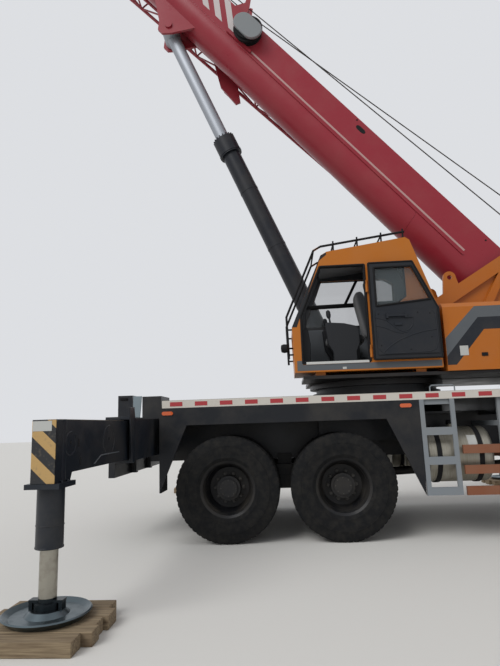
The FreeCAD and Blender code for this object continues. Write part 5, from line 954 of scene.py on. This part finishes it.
swoops = [[(-0.17, 2.56), (-0.04, 2.52), (0.07, 2.42), (0.14, 2.375), (0.22, 2.40), (0.268, 2.466), (0.26, 2.54)],
          [(-0.165, 2.46), (-0.06, 2.43), (0.04, 2.38), (0.13, 2.36), (0.20, 2.375)],
          [(-0.11, 2.13), (-0.02, 2.21), (0.097, 2.279), (0.24, 2.335), (0.382, 2.371), (0.53, 2.39)],
          [(0.50, 2.62), (0.535, 2.57), (0.54, 2.40), (0.54, 2.25), (0.51, 2.16), (0.44, 2.13), (0.10, 2.12),
           (-0.09, 2.12), (-0.15, 2.18), (-0.16, 2.40)]]
ribs = [tube_form([(slew.x + x, LINING_FACE + 0.001, z) for x, z in line], 0.007, 8) for line in swoops]
ribs.append(box_form(from_slew(0.03, LINING_FACE - 0.012, 2.545), from_slew(0.27, LINING_FACE + 0.004, 2.555)))
ribs.append(box_form(from_slew(0.05, LINING_FACE - 0.014, 2.455), from_slew(0.14, LINING_FACE + 0.004, 2.485)))
piece("door_lining_ribs", ribs, door_lining, "operator_door")
screws = [turned_form([(0, 0.003), (0.006, 0.003), (0.009, 0)], from_slew(x, LINING_FACE, z), (0, -1, 0), 14)
          for x, z in ((0.47, 2.585), (0.47, 2.30), (0.22, 2.16), (-0.13, 2.60), (-0.12, 2.22), (0.33, 2.60))]
piece("door_screws", screws, black_rubber_and_hole_shade, "operator_door")


# Winches: cast drums between flanges, in dark enamel, each wound with two layers of
# 16 mm wire rope. The rope is bright strand under black grease.
def wire_rope(name):
    material, tree, surface, place = new_finish(name, Metallic=0.6, Roughness=0.5)
    strands = add_node(tree, "ShaderNodeTexWave", {"Vector": place, "Scale": per_mm(24), "Distortion": 0.6},
                       bands_direction="DIAGONAL")
    shade = add_node(tree, "ShaderNodeMixRGB", {"Fac": strands, "Color1": linear("#1E1D1C"), "Color2": linear("#55524D")})
    tree.links.new(shade, surface.inputs["Base Color"])
    return material


rope_steel = wire_rope("wire_rope")
finish_node("winches", sprayed_enamel("winch_enamel", "#1B1C1F", roughness=0.45, grime=0.35))
WINCHES, ROPE_R, DRUM_R, WRAP_HALF = ((3.08, 2.76), (3.79, 2.72)), 0.009, 0.235, 0.24
for number, (x, z) in enumerate(WINCHES, 1):
    wraps = []
    for layer in range(2):
        radius = DRUM_R + ROPE_R + layer * 0.0165
        turns = 26 - layer
        coil = []
        for k in range(turns * 20 + 1):
            a = 2 * math.pi * k / 20
            coil.append(from_slew(x + radius * math.cos(a), -WRAP_HALF + 2 * WRAP_HALF * k / (turns * 20), z + radius * math.sin(a)))
        wraps.append(tube_form(coil, ROPE_R, 6))
    piece(f"winch_rope_{number}", wraps, rope_steel, "superstructure")
    caps = [turned_form([(0, 0.05), (0.09, 0.05), (0.11, 0.02), (0.11, 0)], from_slew(x, side * 0.326, z), (0, side, 0), 28)
            for side in (-1, 1)]
    piece(f"winch_motor_{number}", caps, trim_vinyl, "superstructure", rounding=0.004)


# Boom: welded U-section sheet, sprayed crimson. A pale line is masked along the side,
# and three slanted white bars show how far the sections are out.
CRIMSON, BOOM_HALF, BOOM_TOP = "#8D2733", 0.32, 0.146
BOOM_RISE = math.radians(49.5)
along_boom = Vector((-math.cos(BOOM_RISE), 0, math.sin(BOOM_RISE)))
above_boom = Vector((math.sin(BOOM_RISE), 0, math.cos(BOOM_RISE)))


def on_boom(point):
    """A point given along the raised boom from its foot pin, across to +Y, and above the pin's line."""
    return foot_pin + along_boom * point[0] + Vector((0, point[1], 0)) + above_boom * point[2]


boom_enamel = sprayed_enamel("boom_enamel", CRIMSON, roughness=0.26, grime=0.14)
for name in ("boom_base", "boom_section_2", "boom_section_3", "boom_section_4", "stowed_jib"):
    finish_node(name, boom_enamel)
pale_paint = new_finish("stencil_paint", Base_Color=linear("#BDB4B2"), Roughness=0.4)[0]
pink_paint = new_finish("line_paint", Base_Color=linear("#B08A87"), Roughness=0.4)[0]
SIDE = -BOOM_HALF
piece("boom_line", [box_form((0.665, SIDE - 0.0015, -0.250), (5.235, SIDE + 0.001, -0.222), on_boom)], pink_paint, "boom_base")
bars = [plate_form(outline, SIDE - 0.0015, SIDE + 0.001, on_boom) for outline in (
    [(6.70, 0.135), (6.86, 0.135), (6.35, -0.20), (6.19, -0.20)],
    [(6.37, 0.135), (6.53, 0.135), (6.05, -0.20), (5.89, -0.20)],
    [(6.06, 0.135), (6.22, 0.135), (5.74, -0.20), (5.58, -0.20)])]
piece("boom_bars", bars, pale_paint, "boom_base")
TURN = -0.304
seams = []
for side in (-1, 1):
    belly = [(1.47 + 0.055 * k / 8, -0.58 + 0.26 * k / 8) for k in range(8)]
    seam = [(10.7, BOOM_HALF, -0.29), (1.56, BOOM_HALF, -0.29)]
    seam += [(a, math.sqrt(BOOM_HALF ** 2 - (b - TURN) ** 2), b) for a, b in reversed(belly)]
    seams.append(tube_form([on_boom((a, side * y, b)) for a, y, b in seam], 0.005, 6))
piece("boom_seams", seams, boom_enamel, "boom_base")
# The boom's openings are drawn as a black oval plate and small black domes on its side: painted shade standing in for
# the dark inside of each opening.
hole = [(3.02 + 0.055 * math.cos(t) + (0.035 if math.cos(t) > 0 else -0.035), 0.04 + 0.032 * math.sin(t))
        for t in [math.pi * (k + 0.5) / 10 for k in range(20)]]
boom_hole_shade = [plate_form(hole, SIDE - 0.002, SIDE + 0.001, on_boom)]
for a, b in ((3.17, 0.11), (0.565, 0.085), (7.4, 0.11), (9.9, 0.10)):
    boom_hole_shade.append(turned_form([(0, 0.003), (0.012, 0.003), (0.014, 0)], on_boom((a, SIDE, b)), (0, -1, 0), 14))
piece("boom_port_shade", boom_hole_shade, black_rubber_and_hole_shade, "boom_base")


# Cable reel on the boom's near side: a grey moulded cover over a black spring drum, and
# the bracket that holds it. The conduit below carries its cable to the foot.
cover_enamel = new_finish("moulded_abs", Base_Color=linear("#75797B"), Roughness=0.5)[0]


def capsule(centre_along, centre_above, half_run, radius, steps=12):
    points = [(centre_along + half_run + radius * math.cos(t), centre_above + radius * math.sin(t))
              for t in [math.pi * (k / steps - 0.5) for k in range(steps + 1)]]
    return points + [(centre_along - half_run - radius * math.cos(t), centre_above - radius * math.sin(t))
                     for t in [math.pi * (k / steps - 0.5) for k in range(steps + 1)]]


piece("reel_cover", [plate_form(capsule(5.42, -0.06, 0.105, 0.1535), SIDE - 0.2085, SIDE - 0.160, on_boom)], cover_enamel,
      "boom_base", rounding=0.012)
reel = [turned_form([(0.0, -0.1665), (0.197, -0.1665), (0.197, -0.1325), (0.228, -0.1325), (0.228, -0.1125), (0.197, -0.1125),
                     (0.197, -0.03), (0.21, -0.03), (0.21, 0.002), (0.0, 0.002)], on_boom((5.42, SIDE, -0.06)), (0, 1, 0), 56)]
piece("reel_drum", reel, black_rubber_and_hole_shade, "boom_base")

# Rigging: each winch's rope runs up to the guide roller, along the boom's top and over
# the head. It is taut, drawn in straight runs that end at the mouth of each section.
GUIDE_ALONG, GUIDE_ABOVE = 5.93, 0.385 + ROPE_R
guide = on_boom((GUIDE_ALONG, 0, GUIDE_ABOVE))
HEAD_TOP = (11.88 - 0.47 + 0.19, 0.146 - 0.09 + 0.03 + 0.13 - 0.006)
mouths = {"boom_section_2": 10.75 + 0.22, "boom_section_3": 10.75 + 0.44, "boom_section_4": HEAD_TOP[0]}


def rope_line(share):
    """A point on the rope's straight run over the boom, from its guide at 0 to the head's roller at 1."""
    low = Vector((GUIDE_ALONG, 0, GUIDE_ABOVE))
    return low.lerp(Vector((HEAD_TOP[0], 0, HEAD_TOP[1] + ROPE_R)), share)


def straight(start, end, count=24):
    return [Vector(start).lerp(Vector(end), k / count) for k in range(count + 1)]


for number, (x, z) in enumerate(WINCHES, 1):
    y = -0.075 if number == 1 else 0.075
    drum = from_slew(x, y, z)
    reach = Vector((guide.x - drum.x, 0, guide.z - drum.z))
    lean = math.acos((DRUM_R + 2.6 * ROPE_R) / reach.length)
    heading = math.atan2(reach.z, reach.x) - lean
    leave = drum + (DRUM_R + 2.6 * ROPE_R) * Vector((math.cos(heading), 0, math.sin(heading)))
    run = piece(f"winch_line_{number}", [tube_form(straight(leave, guide + Vector((0, y, 0)), 40), ROPE_R, 8)], rope_steel,
                None)
    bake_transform(run)
    previous = "boom_base"
    start = rope_line(0.0)
    for body, reach_to in mouths.items():
        end = rope_line((reach_to - GUIDE_ALONG) / (HEAD_TOP[0] - GUIDE_ALONG))
        ends = [on_boom((p.x, y, p.z)) for p in (start, end)]
        run = piece(f"boom_line_{number}_{body}", [tube_form(straight(*ends), ROPE_R, 8)], rope_steel, None)
        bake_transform(run)
        previous, start = body, end

head_centre = on_boom((11.88, 0, -0.64))
head_rope = []
for y in (-0.131, -0.053, 0.025, 0.103):
    arc = [head_centre + Vector((0.207 * math.cos(a), y, 0.207 * math.sin(a)))
           for a in [math.pi * (k / 24) for k in range(25)]]
    head_rope.append(tube_form(arc, ROPE_R, 8))
for y in (-0.075, 0.075):
    roller = on_boom((HEAD_TOP[0], y, 0.086))
    start_angle = math.atan2(above_boom.z, above_boom.x)
    arc = [roller + Vector((0.133 * math.cos(start_angle + a), 0, 0.133 * math.sin(start_angle + a)))
           for a in [math.radians(9 * k) for k in range(17)]]
    head_rope.append(tube_form(arc + [head_centre + Vector((-0.19, 0, 0.12))], ROPE_R, 8))
piece("head_rope", head_rope, rope_steel, "boom_section_4")


# Lift cylinder: a black enamelled barrel with a notched gland nut, its feed pipe clipped
# along it, and a hard-chromed rod that ends in the boom's bracket.
hard_chrome = new_finish("hard_chrome", Base_Color=linear("#9DA1A7"), Metallic=0.8, Roughness=0.52)[0]
finish_node("lift_rod", hard_chrome)
cylinder_enamel = sprayed_enamel("cylinder_enamel", "#12151D", roughness=0.38, grime=0.15)
finish_node("lift_barrel", cylinder_enamel)
LIFT_FOOT = from_slew(-0.575, 0, 2.25)
eye = on_boom((6.55, 0, -0.80))
lift_axis = (eye - LIFT_FOOT).normalized()
GLAND_END, GLAND_R, BARREL_R, ROD_R = 3.86, 0.175, 0.141, 0.104
reach = (eye - LIFT_FOOT).length
rod_forms = [turned_form([(0, reach - 3.83), (ROD_R - 0.004, reach - 3.83), (ROD_R, reach - 3.826), (ROD_R, reach - 0.064), (0, reach - 0.064)],
                         LIFT_FOOT, lift_axis, 96),
             turned_form([(0.0605, -0.175), (0.138 - 0.006, -0.175), (0.138, -0.169), (0.138, 0.169), (0.138 - 0.006, 0.175),
                          (0.0605, 0.175)], eye, (0, 1, 0), 64, closed=True)]
piece("chromed_rod", rod_forms, hard_chrome, "lift_rod", standing_for=("lift_rod",))
teeth = []
across = Vector((0, 1, 0))
outward = lift_axis.cross(across).normalized()


def on_barrel(along, angle, radius):
    return LIFT_FOOT + lift_axis * along + radius * (math.cos(angle) * outward + math.sin(angle) * across)


for k in range(20):
    a = 2 * math.pi * k / 20
    teeth.append(box_form((-0.012, -0.009, -0.03), (0.012, 0.009, 0.0), lambda p, a=a: on_barrel(
        GLAND_END + 0.001, a, GLAND_R - 0.012) + lift_axis * (p[2] + 0.024) + (math.cos(a) * outward + math.sin(a) * across) * p[0]
        + (math.cos(a) * across - math.sin(a) * outward) * p[1]))
gland = [turned_form([(GLAND_R - 0.003, -0.03), (GLAND_R + 0.006, -0.03), (GLAND_R + 0.006, 0), (GLAND_R - 0.003, 0)],
                     LIFT_FOOT + lift_axis * (GLAND_END - 0.24), lift_axis, 48, closed=True)]
piece("gland_nut", teeth + gland, cylinder_enamel, "lift_barrel", rounding=0.002)
feed = [tube_form([on_barrel(0.35, math.pi / 2 - 0.5, BARREL_R + 0.001), on_barrel(0.45, math.pi / 2 - 0.5, BARREL_R + 0.022),
                   on_barrel(GLAND_END - 0.5, math.pi / 2 - 0.5, BARREL_R + 0.022),
                   on_barrel(GLAND_END - 0.40, math.pi / 2 - 0.5, BARREL_R + 0.001)], 0.013, 10)]
for along in (0.9, 1.9, 2.9):
    feed.append(turned_form([(BARREL_R - 0.001, -0.015), (BARREL_R + 0.004, -0.015), (BARREL_R + 0.004, 0.015),
                             (BARREL_R - 0.001, 0.015)], LIFT_FOOT + lift_axis * along, lift_axis, 40, closed=True))
piece("lift_feed_pipe", feed, cylinder_enamel, "lift_barrel")


# Hook block: yellow cheeks over black-striped sides, on four falls of wire rope.
hook_pin = joint_at["hook_swing"]
block_centre = hook_pin + Vector((0, 0, -1.9))
finish_node("hook_block", sprayed_enamel("hook_enamel", "#1A1A1B", roughness=0.4, grime=0.25))
cheek_stripes = hazard_stripes("cheek_stripes", "#131417", "#B4862A", 0.8, 0.13, 0.0)
cheek = [(-0.222, 0.0), (-0.118, 0.232), (0.118, 0.232), (0.222, 0.0), (0.118, -0.257), (-0.118, -0.257)]
cheeks = [plate_form([(block_centre.x + x, block_centre.z + z) for x, z in cheek], *sorted((y, y + out * 0.003)))
          for y, out in ((-0.185, -1), (0.176, 1))]
piece("cheek_skins", cheeks, cheek_stripes, "hook_block", rounding=0.001)
fall_forms = []
for y in (-0.131, -0.053, 0.025, 0.103):
    for out in (-1, 1):
        fall_forms.append(tube_form(straight(hook_pin + Vector((out * 0.196, y, -1.9 + 0.2)),
                                             hook_pin + Vector((out * 0.2175, y, -0.045)), 8), 0.0108, 8))
piece("rope_falls", fall_forms, rope_steel, "hook_block")
